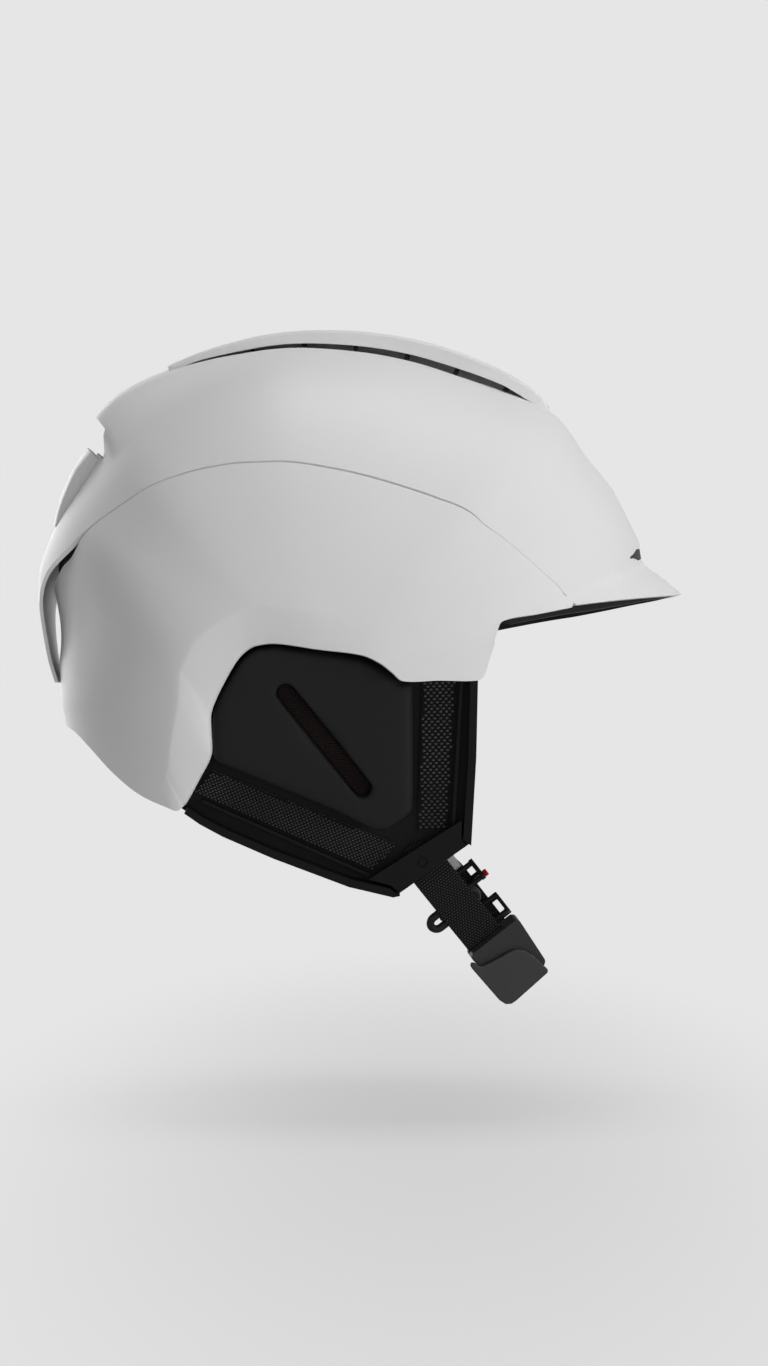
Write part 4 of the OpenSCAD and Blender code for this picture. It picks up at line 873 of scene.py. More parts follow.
def puff_up(name, sheet, seams, rise, away, closed=False):
    """Cloth sheet that pressure lifts between its seams. Where the simulation lifts nothing a smooth crown
    stands in.
    """
    n, m = sheet.shape[:2]
    edge_distance = seam_distance(seams, closed)
    crown = np.sqrt(np.clip(edge_distance / max(edge_distance.max(), 1), 0, 1))
    quads = []
    for i in range(n - 1):
        for j in range(m if closed else m - 1):
            nj = (j + 1) % m
            quads.append((i * m + j, i * m + nj, (i + 1) * m + nj, (i + 1) * m + j))
    first_lift, usual_peak, most_lift = 0.4, 98, 1.15
    start = sheet + away * (first_lift * crown)[..., None]
    mesh = bpy.data.meshes.new(name + "_cloth")
    mesh.from_pydata((start.reshape(-1, 3) * MM).tolist(), [], quads)
    mesh.update()
    facing = np.array([f.normal for f in mesh.polygons]).reshape(-1, 3).mean(0)
    if facing @ away.reshape(-1, 3).mean(0) < 0:
        mesh.flip_normals()
    cloth_obj = add_object(name + "_cloth", mesh)
    pins = cloth_obj.vertex_groups.new(name="seams")
    pins.add([int(k) for k in np.flatnonzero(seams.ravel())], 1.0, "REPLACE")
    cloth = cloth_obj.modifiers.new("cloth", "CLOTH")
    cloth.settings.vertex_group_mass = "seams"
    cloth.settings.use_pressure = True
    cloth.settings.uniform_pressure_force = CLOTH_PRESSURE
    cloth.settings.tension_stiffness = CLOTH_STIFFNESS
    cloth.settings.compression_stiffness = CLOTH_STIFFNESS
    cloth.settings.bending_stiffness = CLOTH_BENDING
    cloth.settings.effector_weights.gravity = 0
    cloth.collision_settings.use_collision = False
    for step in range(1, CLOTH_STEPS + 1):
        bpy.context.scene.frame_set(step)
    graph = bpy.context.evaluated_depsgraph_get()
    settled = cloth_obj.evaluated_get(graph).to_mesh()
    moved = np.array([v.co for v in settled.vertices]).reshape(n, m, 3) / MM
    bpy.context.scene.frame_set(1)
    bpy.data.objects.remove(cloth_obj)
    lifted = np.clip(((moved - sheet) * away).sum(-1), 0, None)
    peak = np.percentile(lifted, usual_peak)
    lifted = np.minimum(lifted / peak, most_lift) * rise if peak > 0 else rise * crown
    return sheet + away * lifted[..., None]


def seam_distance(seams, closed):
    """Steps from each point of the sheet to the nearest seam."""
    unknown = 999
    far = np.where(seams, 0, unknown).astype(float)
    for _ in range(sum(seams.shape)):
        side = [np.roll(far, 1, 1), np.roll(far, -1, 1)]
        if not closed:
            side[0][:, 0], side[1][:, -1] = unknown, unknown
        up, down = np.roll(far, 1, 0), np.roll(far, -1, 0)
        up[0], down[-1] = unknown, unknown
        far = np.minimum(far, np.minimum.reduce([*side, up, down]) + 1)
    return far


def inward_on_dome(th, ps):
    way = skin(th, ps, LINER_FOOT - 1) - skin(th, ps, LINER_FOOT)
    return way / np.linalg.norm(way, axis=-1, keepdims=True)


def dome_pad(name, th_span, ps_span, cells, channels):
    """Sewn pad on the liner's inside: a flat back and a sheet puffed up between its seams."""
    th = np.linspace(*th_span, cells[0] + 1)[:, None]
    ps = np.linspace(*ps_span, cells[1] + 1)[None, :]
    th, ps = np.broadcast_arrays(th, ps)
    away = inward_on_dome(th, ps)
    seams = np.zeros(th.shape, bool)
    seams[[0, -1]] = True
    seams[:, [0, -1]] = True
    for axis, share in channels:
        k = int(round(share * cells[axis]))
        if axis == 0:
            seams[k] = True
        else:
            seams[:, k] = True
    sheet = skin(th, ps, LINER_FOOT - SEWN_T)
    top = puff_up(name, sheet, seams, PAD_T - SEWN_T, away)
    return shell_mesh(skin(th, ps, LINER_FOOT - 0.25), top)


def joined(parts):
    """One mesh from several."""
    verts, faces, shift = [], [], 0
    for v, f in parts:
        verts.append(v)
        faces += [tuple(k + shift for k in face) for face in f]
        shift += len(v)
    return np.concatenate(verts), faces


def padded_piece(name, mesh, node):
    obj = make_piece(name, *mesh, lining_fabric)
    smooth = obj.modifiers.new("soft", "SUBSURF")
    smooth.levels = smooth.render_levels = 1
    dress(obj, "helmet", "lining_fabric", node)


# Ear pads

# Outlines in the ear pad's frame
PANEL_MID = np.array((-6.0, -41.0))
PANEL_EDGE = [(31, -64.9), (30.9, -40), (30.7, -17.2), (25.6, -17), (21.6, -13), (16.9, -9.6), (9.6, -6.3),
              (-8.2, -3.9), (-25.7, -1.4), (-33.7, -2.2), (-37.4, -4.1), (-41.2, -8), (-45.6, -15),
              (-50.2, -24), (-52.2, -30.2), (-52.4, -38), (-52.5, -46.8), (-51, -50), (-29.7, -58.9),
              (-2.9, -70), (14.8, -78.8), (20.6, -78.6), (28.1, -73.4), (30.5, -71)]
FRONT_WEB = [(35.5, 11.8), (49.5, 8.8), (49.2, -16.5), (45.6, -80.5), (33, -80.5), (34.7, -16.5)]
REAR_WEB = [(-52.6, -55.2), (-61, -63.9), (14, -97.7), (24.5, -86.6)]
FRAME_EDGE = [(46, 12.8), (54, 6), (58, -15), (57.4, -48.6), (55.4, -86), (25.6, -107.4), (22.8, -108),
              (4.3, -103.6), (-27.4, -91.5), (-48.5, -82.2), (-58, -77), (-67.5, -70.2), (-66, -62),
              (-58, -40), (-50, -10), (-40, 6), (-30, 12.8)]
# Section of the ear panel from its slot to its outer edge: share of the way, height
PANEL_SECTION = [(0, -8.5), (0, -2.2), (0.008, -1.4), (0.03, -0.65), (0.07, -0.2), (0.13, -0.04), (0.3, 0),
                 (0.6, 0), (0.8, -0.08), (0.88, -0.25), (0.92, -0.5), (0.945, -0.85), (0.965, -1.4),
                 (0.98, -2.2), (0.992, -3.2), (1, -4.4), (1, -7.3), (0.97, -8.5)]


def slot_point(p, half_w):
    """Points on the slot's edge that lie towards the points p."""
    d = p - PANEL_MID
    a = np.arctan2(d[:, 1], d[:, 0])
    turn = a - math.radians(SLOT_TURN)
    u, v = np.abs(np.cos(turn)), np.abs(np.sin(turn))
    round_end = SLOT_HALF_LEN * u + np.sqrt(np.maximum(0, half_w**2 - (SLOT_HALF_LEN * v)**2))
    reach = np.where(v * SLOT_HALF_LEN > half_w * u, half_w / np.maximum(v, 1e-9), round_end)
    return PANEL_MID + reach[:, None] * np.stack([np.cos(a), np.sin(a)], -1)


def ear_panel():
    edge = rounded_outline(PANEL_EDGE, 2.5, 4, 1.6)
    inner = slot_point(edge, SLOT_HALF_W)
    loops = [np.column_stack([mix(inner, edge, f), np.full(len(edge), z)]) for f, z in PANEL_SECTION]
    verts, faces = ring_mesh(loops)
    return ear_place(verts), faces


def stadium(half_len, half_w, turn, steps=10):
    ends = []
    for side in (1, -1):
        a = np.linspace(-90, 90, steps + 1) + (0 if side > 0 else 180)
        ends.append(np.stack([side * half_len + half_w * cosd(a), half_w * sind(a)], -1))
    flat = np.concatenate(ends)
    c, s = cosd(turn), sind(turn)
    return flat @ np.array([[c, s], [-s, c]]) + PANEL_MID


def ear_mesh():
    edge = stadium(SLOT_HALF_LEN, SLOT_HALF_W - 0.3, SLOT_TURN)
    verts, faces = slab_mesh(edge, -PANEL_T, -PANEL_T + MESH_T)
    return ear_place(verts), faces


def ear_foam():
    edge = rounded_outline(mix(PANEL_MID, np.array(PANEL_EDGE), 0.93), 3)
    verts, faces = slab_mesh(edge, FRAME_TOP, -PANEL_T)
    return ear_place(verts), faces


def webbing_strip(edge):
    verts, faces = slab_mesh(rounded_outline(edge, 1.2), FRAME_TOP, FRAME_TOP + WEB_T)
    return ear_place(verts), faces


def inside_outline(points, outline, margin):
    """Which points lie within an outline listed clockwise or anticlockwise, with a margin to every side."""
    keep = np.ones(len(points), bool)
    p = np.asarray(outline, float)
    area = np.sum(p[:, 0] * np.roll(p[:, 1], -1) - np.roll(p[:, 0], -1) * p[:, 1])
    for a, b in zip(p, np.roll(p, -1, 0)):
        d = (b - a) / np.linalg.norm(b - a)
        side = (points[:, 0] - a[0]) * d[1] - (points[:, 1] - a[1]) * d[0]
        keep &= (-side if area > 0 else side) > margin
    return keep


def staggered(outline, pitch, row, turn, margin):
    """Points of a staggered grid inside an outline, with rows along the direction turn."""
    p = np.asarray(outline, float)
    mid = p.mean(0)
    c, s = cosd(turn), sind(turn)
    axes = np.array([[c, s], [-s, c]])
    reach = np.abs((p - mid) @ axes.T).max(0)
    found = []
    rows = int(2 * reach[1] / row) + 2
    for k in range(-rows, rows + 1):
        xs = np.arange(-reach[0] - 2 * pitch, reach[0] + 2 * pitch, pitch) + (k % 2) * pitch / 2
        found.append(np.stack([xs, np.full(len(xs), k * row)], -1))
    grid = np.concatenate(found) @ axes + mid
    return grid[inside_outline(grid, p, margin)]


def on_ear(flat_points, z):
    return ear_place(np.column_stack([flat_points, np.full(len(flat_points), z)]))


EAR_OUT = ear_place((0, 0, 1)) - ear_place((0, 0, 0))


def ear_along(turn):
    return ear_place((cosd(turn), sind(turn), 0)) - ear_place((0, 0, 0))


def side_pair(name, mesh, node, slot, material, bevel=0.0):
    """The right-hand piece and its mirror image on the left."""
    for side, (verts, faces) in (("right", mesh), ("left", mirrored(*mesh))):
        obj = make_piece(f"{name}_{side}", verts, faces, material)
        if bevel:
            add_bevel(obj, bevel)
        dress(obj, "helmet", slot, f"{node}_{side}")


def beads_pair(name, flat_points, z, turn, size, slot, material):
    """Beads on the right ear pad and their mirror image on the left."""
    points, along = on_ear(flat_points, z), ear_along(turn)
    for side, way in (("right", np.ones(3)), ("left", np.array((1, -1, 1)))):
        obj = scatter(f"{name}_{side}", points * way, EAR_OUT * way, along * way, bead, size, 0, material)
        dress(obj, "helmet", slot)


EAR_MID = np.array((-2.0, -38.0))
EAR_HOLE = np.array((27.0, 33.0))


def ear_ring():
    """Padded ring on the wearer's side of the frame, with its sheet puffed up between two seams."""
    edge = rounded_outline(mix(EAR_MID, np.array(FRAME_EDGE, float), 0.9), 6, 5, 3)[::-1]
    a = np.arctan2(edge[:, 1] - EAR_MID[1], edge[:, 0] - EAR_MID[0])
    hole = EAR_MID + EAR_HOLE * np.stack([np.cos(a), np.sin(a)], -1)
    base, sewn_t = FRAME_TOP - FRAME_T, 2.6

    def loop(share, z):
        return np.column_stack([mix(hole, edge, share), np.full(len(edge), z)])
    sheet = np.array([loop(share, base - sewn_t) for share in np.linspace(0, 1, 13)])
    seams = np.zeros(sheet.shape[:2], bool)
    seams[[0, -1]] = True
    away = np.broadcast_to(np.array((0.0, 0.0, -1.0)), sheet.shape)
    top = puff_up("ear_ring", sheet, seams, RING_T - sewn_t, away, closed=True)
    back = [loop(share, base - 0.1) for share in (0.94, 0.06)]
    verts, faces = ring_mesh(np.concatenate([top, back]))
    return ear_place(verts), faces


# Chin strap

WEAVE_DEPTH = 0.22


def weave_height(x, z):
    """Ribs of the webbing: short floats in a staggered pattern."""
    rib, column, least = 1.15, 1.35, 0.35
    row = np.floor(x / rib)
    along = np.abs(np.sin(math.pi * x / rib))
    across = 0.5 + 0.5 * np.cos(2 * math.pi * z / column + math.pi * (row % 2))
    return WEAVE_DEPTH * along * (least + (1 - least) * across)


def strap_band(path, half_w, thickness, cells, depth=1.0, mid=0.0, taper=None):
    """Woven strap along a path of points (x, y) in the strap's plane. Its width runs along z.

    Also gives each point's share of the weave's height.
    """
    edge_round, least_edge, sunk = 0.8, 0.25, 0.2
    path = np.asarray(path, float)
    lengths = np.concatenate([[0], np.cumsum(np.linalg.norm(np.diff(path, axis=0), axis=1))])
    s = np.linspace(0, lengths[-1], cells[0] + 1)
    line = np.stack([np.interp(s, lengths, path[:, 0]), np.interp(s, lengths, path[:, 1])], -1)
    way = np.gradient(line, axis=0)
    way /= np.linalg.norm(way, axis=1, keepdims=True)
    normal = np.stack([-way[:, 1], way[:, 0]], -1)
    z = np.linspace(-1, 1, cells[1] + 1)
    into_edge = np.maximum(0, (np.abs(z) * half_w - half_w + edge_round) / edge_round)
    edge = np.sqrt(np.clip(1 - into_edge**2, 0, 1))
    width = half_w if taper is None else taper(s)[:, None]
    across = z[None, :] * width
    weave = weave_height(s[:, None], np.broadcast_to(across, (len(s), len(z))))
    sides = []
    for way_out in (1, -1):
        height = (thickness / 2 - sunk + depth * weave) * np.maximum(edge, least_edge)
        off = line[:, None, :] + way_out * height[..., None] * normal[:, None, :]
        sides.append(np.concatenate([off, np.broadcast_to(across + mid, off.shape[:2])[..., None]], -1))
    return shell_mesh(*sides), np.tile((weave / WEAVE_DEPTH).ravel(), 2)


def round_end(s):
    """Half width of a strap whose first end is a half circle."""
    r = STRAP_W / 2
    return np.sqrt(np.clip(r * r - np.maximum(0, r - s)**2, 0.3, None))


def right_strap():
    """Strap from its rivet to the buckle's tongue, with the bend at the hinge."""
    lean = np.array((cosd(STRAP_LEAN), sind(STRAP_LEAN)))
    start, bend, in_tongue = np.array((HINGE_X, -STRAP_OUT)), 3, 9
    path = [(RIVET_X - STRAP_W / 2, -STRAP_OUT), (HINGE_X - bend, -STRAP_OUT)]
    for t in np.linspace(0, 1, 7):
        path.append((1 - t)**2 * (start - (bend, 0)) + 2 * t * (1 - t) * start + t**2 * (start + bend * lean))
    path.append(start + (TONGUE_X + in_tongue) * lean)
    (verts, faces), weave = strap_band(path, STRAP_W / 2, WEB_T, (300, 60), taper=round_end)
    return (strap_place(verts), faces), weave


def far_path():
    """Path of the far strap, and the place of the receiver's bar."""
    c, s = cosd(STRAP_LEAN), sind(STRAP_LEAN)
    bar = np.array((HINGE_X + BAR_AT[0] * c - BAR_AT[1] * s, -STRAP_OUT + BAR_AT[0] * s + BAR_AT[1] * c))
    bend_r = 12
    reach = bend_r * math.tan(math.radians((90 - STRAP_LEAN) / 2))
    corner = np.array((bar[0], STRAP_OUT - (bar[0] - HINGE_X) * math.tan(math.radians(STRAP_LEAN))))
    mid = corner + (-bend_r, -reach)
    path = [(RIVET_X - STRAP_W / 2, STRAP_OUT), (HINGE_X - 2, STRAP_OUT), (HINGE_X + 1, STRAP_OUT - 0.3)]
    path += [mid + bend_r * np.array((cosd(a), sind(a))) for a in np.linspace(90 - STRAP_LEAN, 0, 13)]
    path.append((bar[0], bar[1] + BAR_R + STRAP_PLAY))
    return np.array([np.asarray(p, float) for p in path]), bar


def left_strap():
    """Far strap: from its rivet down to the chin and across to the receiver's bar."""
    path, _ = far_path()
    (verts, faces), weave = strap_band(path, STRAP_W / 2, WEB_T, (520, 46), taper=round_end)
    fall = ease(RIVET_X, HINGE_X + 12, verts[:, 0])
    verts[:, 2] += FAR_SHIFT * (fall * fall)
    return (strap_place(verts), faces), weave


def strap_loop_end():
    """The webbing's loop round the receiver's bar."""
    _, bar = far_path()
    a = np.linspace(90, 450, 49)[:-1]
    r = BAR_R + STRAP_PLAY + WEB_T / 2
    half = STRAP_W / 2
    z = np.linspace(-half, half, 30)
    loops = []
    for side, zs in ((1, z), (-1, z[::-1])):
        for k in zs:
            grow = WEB_T / 2 * side
            ring = np.stack([bar[0] + (r + grow) * cosd(a), bar[1] + (r + grow) * sind(a)], -1)
            loops.append(np.column_stack([ring, np.full(len(a), k + FAR_SHIFT)]))
    verts, faces = ring_mesh(loops)
    weave = weave_height(np.radians(np.tile(a, len(loops))) * r, verts[:, 2]) / WEAVE_DEPTH
    return (strap_place(verts), faces), weave


def strap_lining():
    x0, length, lining_t = 2, 10, 1.2
    y = -WEB_T / 2 - 0.15 - lining_t / 2
    path = [(x0, y), (x0 + length, y)]
    (verts, faces), _ = strap_band(path, STRAP_W / 2 - 0.6, lining_t, (30, 30), 0.4, FAR_SHIFT)
    return left_strap_place(verts), faces


def webbing_piece(name, mesh, weave):
    obj = make_piece(name, *mesh, strap_weave_painted_shade)
    heights = obj.data.attributes.new("weave", "FLOAT", "POINT").data
    heights.foreach_set("value", np.asarray(weave, np.float32))
    return obj


def tube_along(path, radius, sides=14):
    """Round tube along a closed path that lies flat in x and z."""
    way = np.roll(path, -1, 0) - np.roll(path, 1, 0)
    way /= np.linalg.norm(way, axis=1, keepdims=True)
    up = np.broadcast_to(np.array((0.0, 1.0, 0.0)), path.shape)
    side = np.cross(way, up)
    turns = np.arange(sides) * 360 / sides
    return ring_mesh([path + radius * (cosd(a) * side + sind(a) * up) for a in turns])


def slider_ring():
    """Rounded loop with a bar behind the near strap, set where the CAD slider is."""
    half_len, half_w, radius, shift = 13.6, 4.65, 1.7, -2.5
    bar_half, bar_turn, bar_radius, steps = 8.2, 0.4, 1.1, 15
    corners = np.array([v.co for v in frame["nodes"]["strap_slider_right"].data.vertices]) / MM
    local = turned(turned(corners - (STRAP_X, 0, STRAP_Z), "y", -STRAP_TURN)
                   - (HINGE_X, -STRAP_OUT, 0), "z", -STRAP_LEAN)
    mid = (local.min(0) + local.max(0)) / 2
    parts = []
    for reach, turn_r, tube_r, z in ((half_len - half_w, half_w - radius, radius, shift),
                                     (bar_half, bar_turn, bar_radius, 0)):
        ends = [np.stack([turn_r * sind(a), np.zeros(steps), z + side * reach + turn_r * cosd(a)], -1)
                for a, side in ((np.linspace(-90, 90, steps), 1), (np.linspace(90, 270, steps), -1))]
        parts.append(tube_along(np.concatenate(ends), tube_r))
    verts, faces = joined(parts)
    return right_strap_place(verts + (mid[0], WEB_T / 2 + radius + 0.1, mid[2])), faces


# Build

def build_shells():
    for node, make, slot, material, bevel in (
            ("upper_shell", upper_shell, "shell_white", shell_white, 0.35),
            ("lower_shell", lower_shell, "shell_white", shell_white, 0.35),
            ("spine_cover", spine_cover, "shell_white", shell_white, 0.5),
            ("tail_panel", tail_panel, "shell_white", shell_white, 0.5),
            ("vent_grille", vent_grille, "dark_plastic", dark_plastic, 0.2),
            ("visor_lining", visor_lining, "dark_plastic", dark_plastic, 0.3),
            ("front_vent_insert", front_vent_insert, "dark_plastic", dark_plastic, 0.1)):
        obj = make_piece(node + "_moulding", *make(), material)
        add_bevel(obj, bevel, 50)
        dress(obj, "helmet", slot, node)
    dress(grille_ribs(), "helmet", "dark_plastic")
    liner = make_piece("foam_liner_beads", *foam_liner(), liner_foam)
    add_bevel(liner, 0.8, 50)
    dress(liner, "helmet", "liner_foam", "foam_liner")


def stitch_seam(name, points, facing, spacing=4):
    """Short stitches along a sewn line of points."""
    way = np.gradient(points, axis=0)
    steps = np.concatenate([[0], np.cumsum(np.linalg.norm(np.diff(points, axis=0), axis=1))])
    at = np.arange(spacing / 2, steps[-1], spacing)
    spread = [np.stack([np.interp(at, steps, v[:, k]) for k in range(3)], -1) for v in (points, facing, way)]
    dress(scatter(name, *spread, bead, (1.3, 0.35, 0.35), 0.1, thread_grey), "helmet", "lining_fabric")


def build_pads():
    brow = dome_pad("brow_pad", (21, 35), (42, 138), (16, 66), [(1, 0.25), (1, 0.5), (1, 0.75)])
    padded_piece("brow_pad_cover", brow, "brow_pad")
    # Crown pads: span of fan angles, span of roll angles, cells
    spots = (((58, 118), (42, 62), (40, 18)), ((58, 118), (118, 138), (40, 18)),
             ((126, 150), (62, 118), (18, 36)))
    parts = []
    for k, (ths, pss, cells) in enumerate(spots):
        lengthwise = 0 if cells[0] > cells[1] else 1
        parts.append(dome_pad(f"crown_pad_{k}", ths, pss, cells, [(lengthwise, 1 / 3), (lengthwise, 2 / 3)]))
    padded_piece("crown_pads_cover", joined(parts), "crown_pads")
    count, stitch_depth = 60, 2.9
    for k, (ths, pss, _) in enumerate(spots):
        for side, share in (("low", 0.07), ("high", 0.93)):
            if k < 2:
                line = np.linspace(*ths, count), np.full(count, mix(*pss, share))
            else:
                line = np.full(count, mix(*ths, share)), np.linspace(*pss, count)
            stitch_seam(f"crown_stitches_{k}_{side}", skin(*line, LINER_FOOT - stitch_depth),
                        inward_on_dome(*line))


def nape_pad():
    """Sewn pad on the housing's cover, curved round the nape."""
    n, m, half_arc = 24, 22, 16
    a = np.linspace(-half_arc, half_arc, m + 1)[None, :]
    z = np.linspace(-HOUSE_HALF - 1, HOUSE_HALF + 1, n + 1)[:, None]
    a, z = np.broadcast_arrays(a, z)

    def at(r):
        return np.stack([HEAD_X - r * cosd(a), -r * sind(a), DIAL_Z + z], -1)
    seams = np.zeros(a.shape, bool)
    seams[[0, -1, n // 2]] = True
    seams[:, [0, -1]] = True
    away = at(NAPE_R - 1) - at(NAPE_R)
    top = puff_up("nape_pad", at(NAPE_R - 1.6), seams, 4.6, away)
    return shell_mesh(at(NAPE_R + 0.05), top)


def build_ear_pads():
    side_pair("ear_panel_shell", ear_panel(), "ear_panel", "ear_panel", panel_black)
    side_pair("ear_mesh_knit", ear_mesh(), "ear_mesh", "knit_mesh", knit_base, 0.6)
    side_pair("ear_foam_core", ear_foam(), "ear_foam", "pad_foam", pad_foam, 0.8)
    slot_edge = stadium(SLOT_HALF_LEN, SLOT_HALF_W - 0.5, SLOT_TURN)
    loops = staggered(slot_edge, 1.5, 0.75, SLOT_TURN + 90, 0.3)
    beads_pair("ear_mesh_loops", loops, -PANEL_T + MESH_T, SLOT_TURN + 40, (0.62, 0.34, 0.4), "knit_mesh",
               knit_loops)
    side_pair("front_webbing_tape", webbing_strip(FRONT_WEB), "front_webbing", "webbing", webbing_base, 0.4)
    side_pair("rear_webbing_tape", webbing_strip(REAR_WEB), "rear_webbing", "webbing", webbing_base, 0.4)
    dots = staggered(FRONT_WEB, 2.5, 1.35, 2, 0.7)
    beads_pair("front_webbing_dots", dots, FRAME_TOP + WEB_T, 2, (0.75, 0.55, 0.3), "webbing", webbing_dots)
    dots = staggered(REAR_WEB, 1.75, 0.95, -24, 0.5)
    beads_pair("rear_webbing_dots", dots, FRAME_TOP + WEB_T, -24, (0.58, 0.4, 0.28), "webbing", webbing_fine)
    side_pair("ear_ring_cover", ear_ring(), "ear_ring", "lining_fabric", lining_fabric)
    for side in ("right", "left"):
        cad_copy(f"ear_frame_{side}", f"ear_frame_tray_{side}", frame_black, 0.5)
        cad_copy(f"corner_bridge_{side}", f"corner_bridge_band_{side}", frame_black, 0.6)


def build_strap():
    strap = webbing_piece("chin_strap_near", *right_strap())
    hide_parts("strap_stub_right", "chin_strap_right")
    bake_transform(strap)
    far = webbing_piece("chin_strap_far", *left_strap())
    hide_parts("chin_strap_left")
    end = webbing_piece("chin_strap_far_loop", *strap_loop_end())
    lining = make_piece("strap_lining_pale", *strap_lining(), strap_pale)
    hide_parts("strap_lining_left")
    for obj in (far, end, lining):
        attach(obj, "strap_loop")
    slider = make_piece("strap_slider_near", *slider_ring(), slider_black)
    dress(slider, "right_slider", "dark_plastic", "strap_slider_right")
    for node, name, material, width in (
            ("strap_slider_left", "strap_slider_far", slider_black, 0.6),
            ("slider_tab", "slider_tab_red", tab_red, 0.4),
            ("strap_keeper", "strap_keeper_frame", slider_black, 0.5),
            ("buckle_tongue", "buckle_tongue_body", buckle_dark, 1.2),
            ("buckle_cover", "buckle_cover_plate", buckle_grey, 0.9),
            ("buckle_receiver", "buckle_receiver_body", buckle_dark, 0.6),
            ("tongue_magnet", "tongue_magnet_disc", steel, 0.3),
            ("receiver_magnet", "receiver_magnet_disc", steel, 0.3),
            ("strap_rivets", "strap_rivet_pins", frame_black, 0.3)):
        cad_copy(node, name, material, width)


def build_fit_dial():
    for node, name, material, width in (
            ("fit_rack_right", "fit_rack_near", dark_plastic, 0.15),
            ("fit_rack_left", "fit_rack_far", dark_plastic, 0.15),
            ("band_guide_right", "band_guide_near", dark_plastic, 0.3),
            ("band_guide_left", "band_guide_far", dark_plastic, 0.3),
            ("fit_housing", "fit_housing_shell", dark_plastic, 0.5),
            ("housing_cover", "housing_cover_plate", dark_plastic, 0.4),
            ("fit_pinion", "fit_pinion_gear", steel, 0.12),
            ("fit_knob", "fit_knob_dial", frame_black, 0.4)):
        cad_copy(node, name, material, width)
    padded_piece("nape_pad_cover", nape_pad(), "nape_pad")


# Stage

PHOTO_H = 1366
MM_PER_PIXEL = 0.44
CAMERA_AT = (18.92, -1600, -36.52)
FLOOR_Z = -224
FLOOR_HALF_W, FLOOR_FRONT, FLOOR_BACK = 20000, -4000, 36000
BACKDROP = 0.79
# In an oval under the helmet the floor takes part of its tone from light and shadow, and its glow there is a
# painted shadow, a little darker than the backdrop. Beyond the oval it glows evenly.
SHADOW_MID = (35, -60)
SHADOW_HALF = (215, 1000)
SHADOW_REACH = (0.0, 1.1)
GLOW_SHARE = 0.7
# Tone of the painted shadow in the oval's middle
PAINTED_SHADOW_GLOW = 0.72
FILL_LIGHT = 0.01
# Softboxes that face the helmet: name, place in metres, size in metres, watts
SOFTBOXES = (("top_softbox", (0.1, -0.2, 1.6), (1.0, 0.9), 14.0),
             ("side_softbox", (2.0, 0.2, 0.3), (1.2, 1.2), 3.0),
             ("low_softbox", (0.3, -1.7, -0.07), (2.0, 0.25), 6.3),
             ("front_softbox", (1.3, -0.9, -0.07), (1.6, 0.25), 8.1),
             ("rear_softbox", (-1.3, 1.0, 0.3), (1.0, 1.2), 6.0),
             ("back_softbox", (-0.9, 1.7, 0.2), (1.0, 1.0), 10.5),
             ("visor_softbox", (1.6, -1.2, 0.7), (1.0, 1.0), 3.2))


def build_camera():
    data = bpy.data.cameras.new("side_camera")
    camera = add_object("side_camera", data)
    camera.location = [v * MM for v in CAMERA_AT]
    camera.rotation_euler = (math.radians(90), 0, 0)
    half_height = PHOTO_H * MM_PER_PIXEL / 2
    data.lens = data.sensor_width / 2 * abs(CAMERA_AT[1]) / half_height
    data.clip_start, data.clip_end = 0.05, 60
    bpy.context.scene.camera = camera


def background_rays(nodes, links):
    """1 for the rays that show the plain background: seen directly, in gloss or through glass."""
    path = add_node(nodes, "ShaderNodeLightPath")
    found = path.outputs["Is Camera Ray"]
    for kind in ("Is Glossy Ray", "Is Transmission Ray"):
        either = add_node(nodes, "ShaderNodeMath", operation="MAXIMUM")
        links.new(found, either.inputs[0])
        links.new(path.outputs[kind], either.inputs[1])
        found = either.outputs[0]
    return found


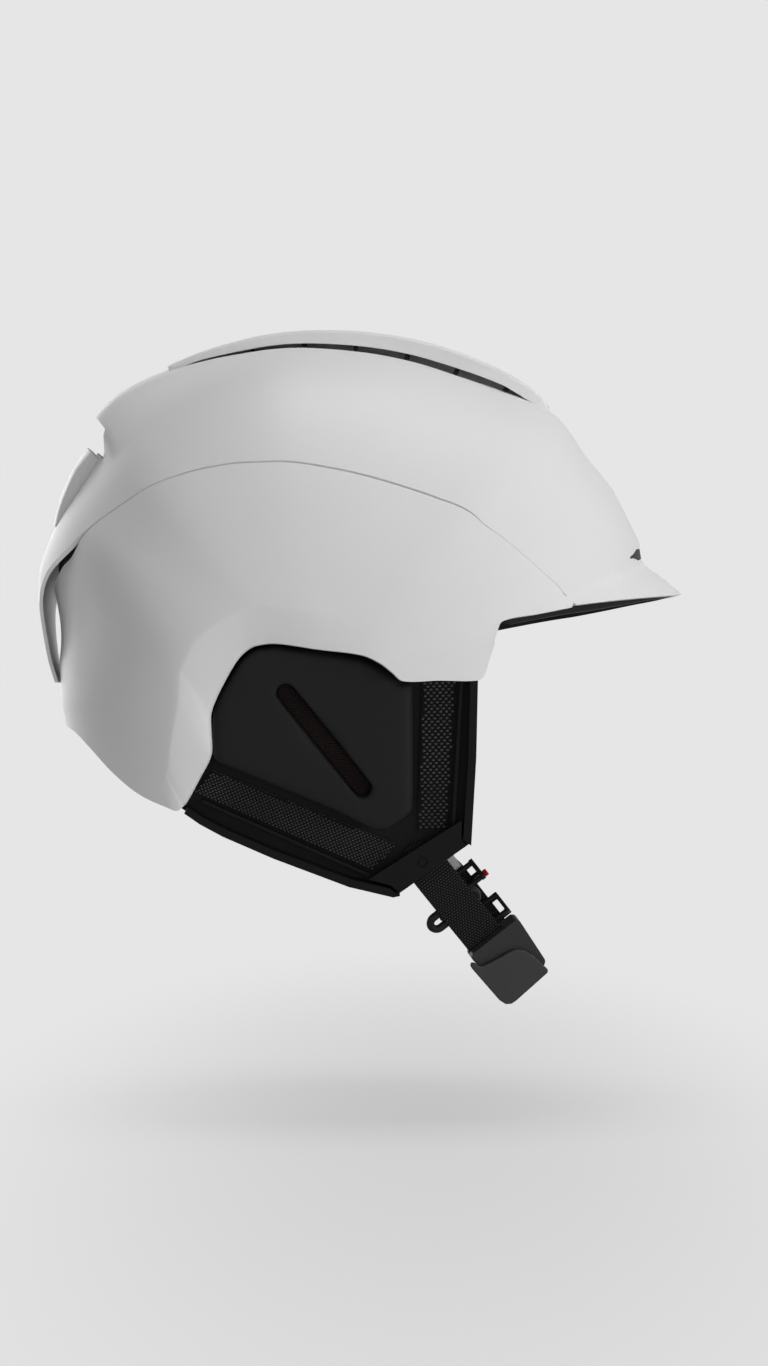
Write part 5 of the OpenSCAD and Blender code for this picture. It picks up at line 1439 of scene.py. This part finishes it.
def build_floor():
    verts = np.array([(-FLOOR_HALF_W, FLOOR_FRONT, FLOOR_Z), (FLOOR_HALF_W, FLOOR_FRONT, FLOOR_Z),
                      (FLOOR_HALF_W, FLOOR_BACK, FLOOR_Z), (-FLOOR_HALF_W, FLOOR_BACK, FLOOR_Z)])
    mat, nodes, links, shader = new_material("floor_pale", (BACKDROP,) * 3, 0.9)
    shader.inputs["Specular IOR Level"].default_value = 0
    away = add_node(nodes, "ShaderNodeVectorMath", operation="LENGTH")
    oval = object_texture(nodes, links, "ShaderNodeMapping", vector_type="TEXTURE",
                          Location=(SHADOW_MID[0] * MM, SHADOW_MID[1] * MM, FLOOR_Z * MM),
                          Scale=(SHADOW_HALF[0] * MM, SHADOW_HALF[1] * MM, 1))
    links.new(oval.outputs["Vector"], away.inputs[0])
    far = add_node(nodes, "ShaderNodeMapRange")
    far.interpolation_type = "SMOOTHSTEP"
    far.inputs["From Min"].default_value, far.inputs["From Max"].default_value = SHADOW_REACH
    far.inputs["To Min"].default_value, far.inputs["To Max"].default_value = GLOW_SHARE, 1
    links.new(away.outputs["Value"], far.inputs["Value"])
    glow = add_node(nodes, "ShaderNodeEmission", Strength=1.0)
    # Painted shadow: the glow darkens from the backdrop's tone towards the oval's middle
    add_ramp(nodes, links, far.outputs["Result"], glow.inputs["Color"],
             (GLOW_SHARE, (PAINTED_SHADOW_GLOW,) * 3), (1, (BACKDROP,) * 3))
    share = add_node(nodes, "ShaderNodeMath", operation="MULTIPLY")
    links.new(background_rays(nodes, links), share.inputs[0])
    links.new(far.outputs["Result"], share.inputs[1])
    blend = add_node(nodes, "ShaderNodeMixShader")
    links.new(share.outputs[0], blend.inputs["Fac"])
    links.new(shader.outputs["BSDF"], blend.inputs[1])
    links.new(glow.outputs["Emission"], blend.inputs[2])
    links.new(blend.outputs["Shader"], nodes["Material Output"].inputs["Surface"])
    mesh = bpy.data.meshes.new("floor")
    mesh.from_pydata((verts * MM).tolist(), [], [(0, 1, 2, 3)])
    mesh.materials.append(mat)
    floor = add_object("floor", mesh)


def add_softbox(name, at, size, power):
    data = bpy.data.lights.new(name, "AREA")
    data.shape = "RECTANGLE"
    data.size, data.size_y = size
    data.energy = power
    lamp = add_object(name, data)
    lamp.location = at
    lamp.rotation_euler = (-Vector(at)).to_track_quat("-Z", "Y").to_euler()
    lamp.visible_camera = False


def build_light():
    world = bpy.data.worlds.new("studio")
    bpy.context.scene.world = world
    world.use_nodes = True
    nodes, links = world.node_tree.nodes, world.node_tree.links
    fill = nodes["Background"]
    fill.inputs["Color"].default_value = (1, 1, 1, 1)
    fill.inputs["Strength"].default_value = FILL_LIGHT
    seen = add_node(nodes, "ShaderNodeBackground", Strength=1.0)
    seen.inputs["Color"].default_value = (BACKDROP, BACKDROP, BACKDROP, 1)
    blend = add_node(nodes, "ShaderNodeMixShader")
    links.new(background_rays(nodes, links), blend.inputs["Fac"])
    links.new(fill.outputs["Background"], blend.inputs[1])
    links.new(seen.outputs["Background"], blend.inputs[2])
    links.new(blend.outputs["Shader"], nodes["World Output"].inputs["Surface"])
    for softbox in SOFTBOXES:
        add_softbox(*softbox)
    view = bpy.context.scene.view_settings
    view.view_transform = "Standard"


build_camera()
build_floor()
build_light()
build_shells()
build_pads()
build_ear_pads()
build_strap()
build_fit_dial()
for used in shapes_used:
    bpy.data.objects.remove(used)
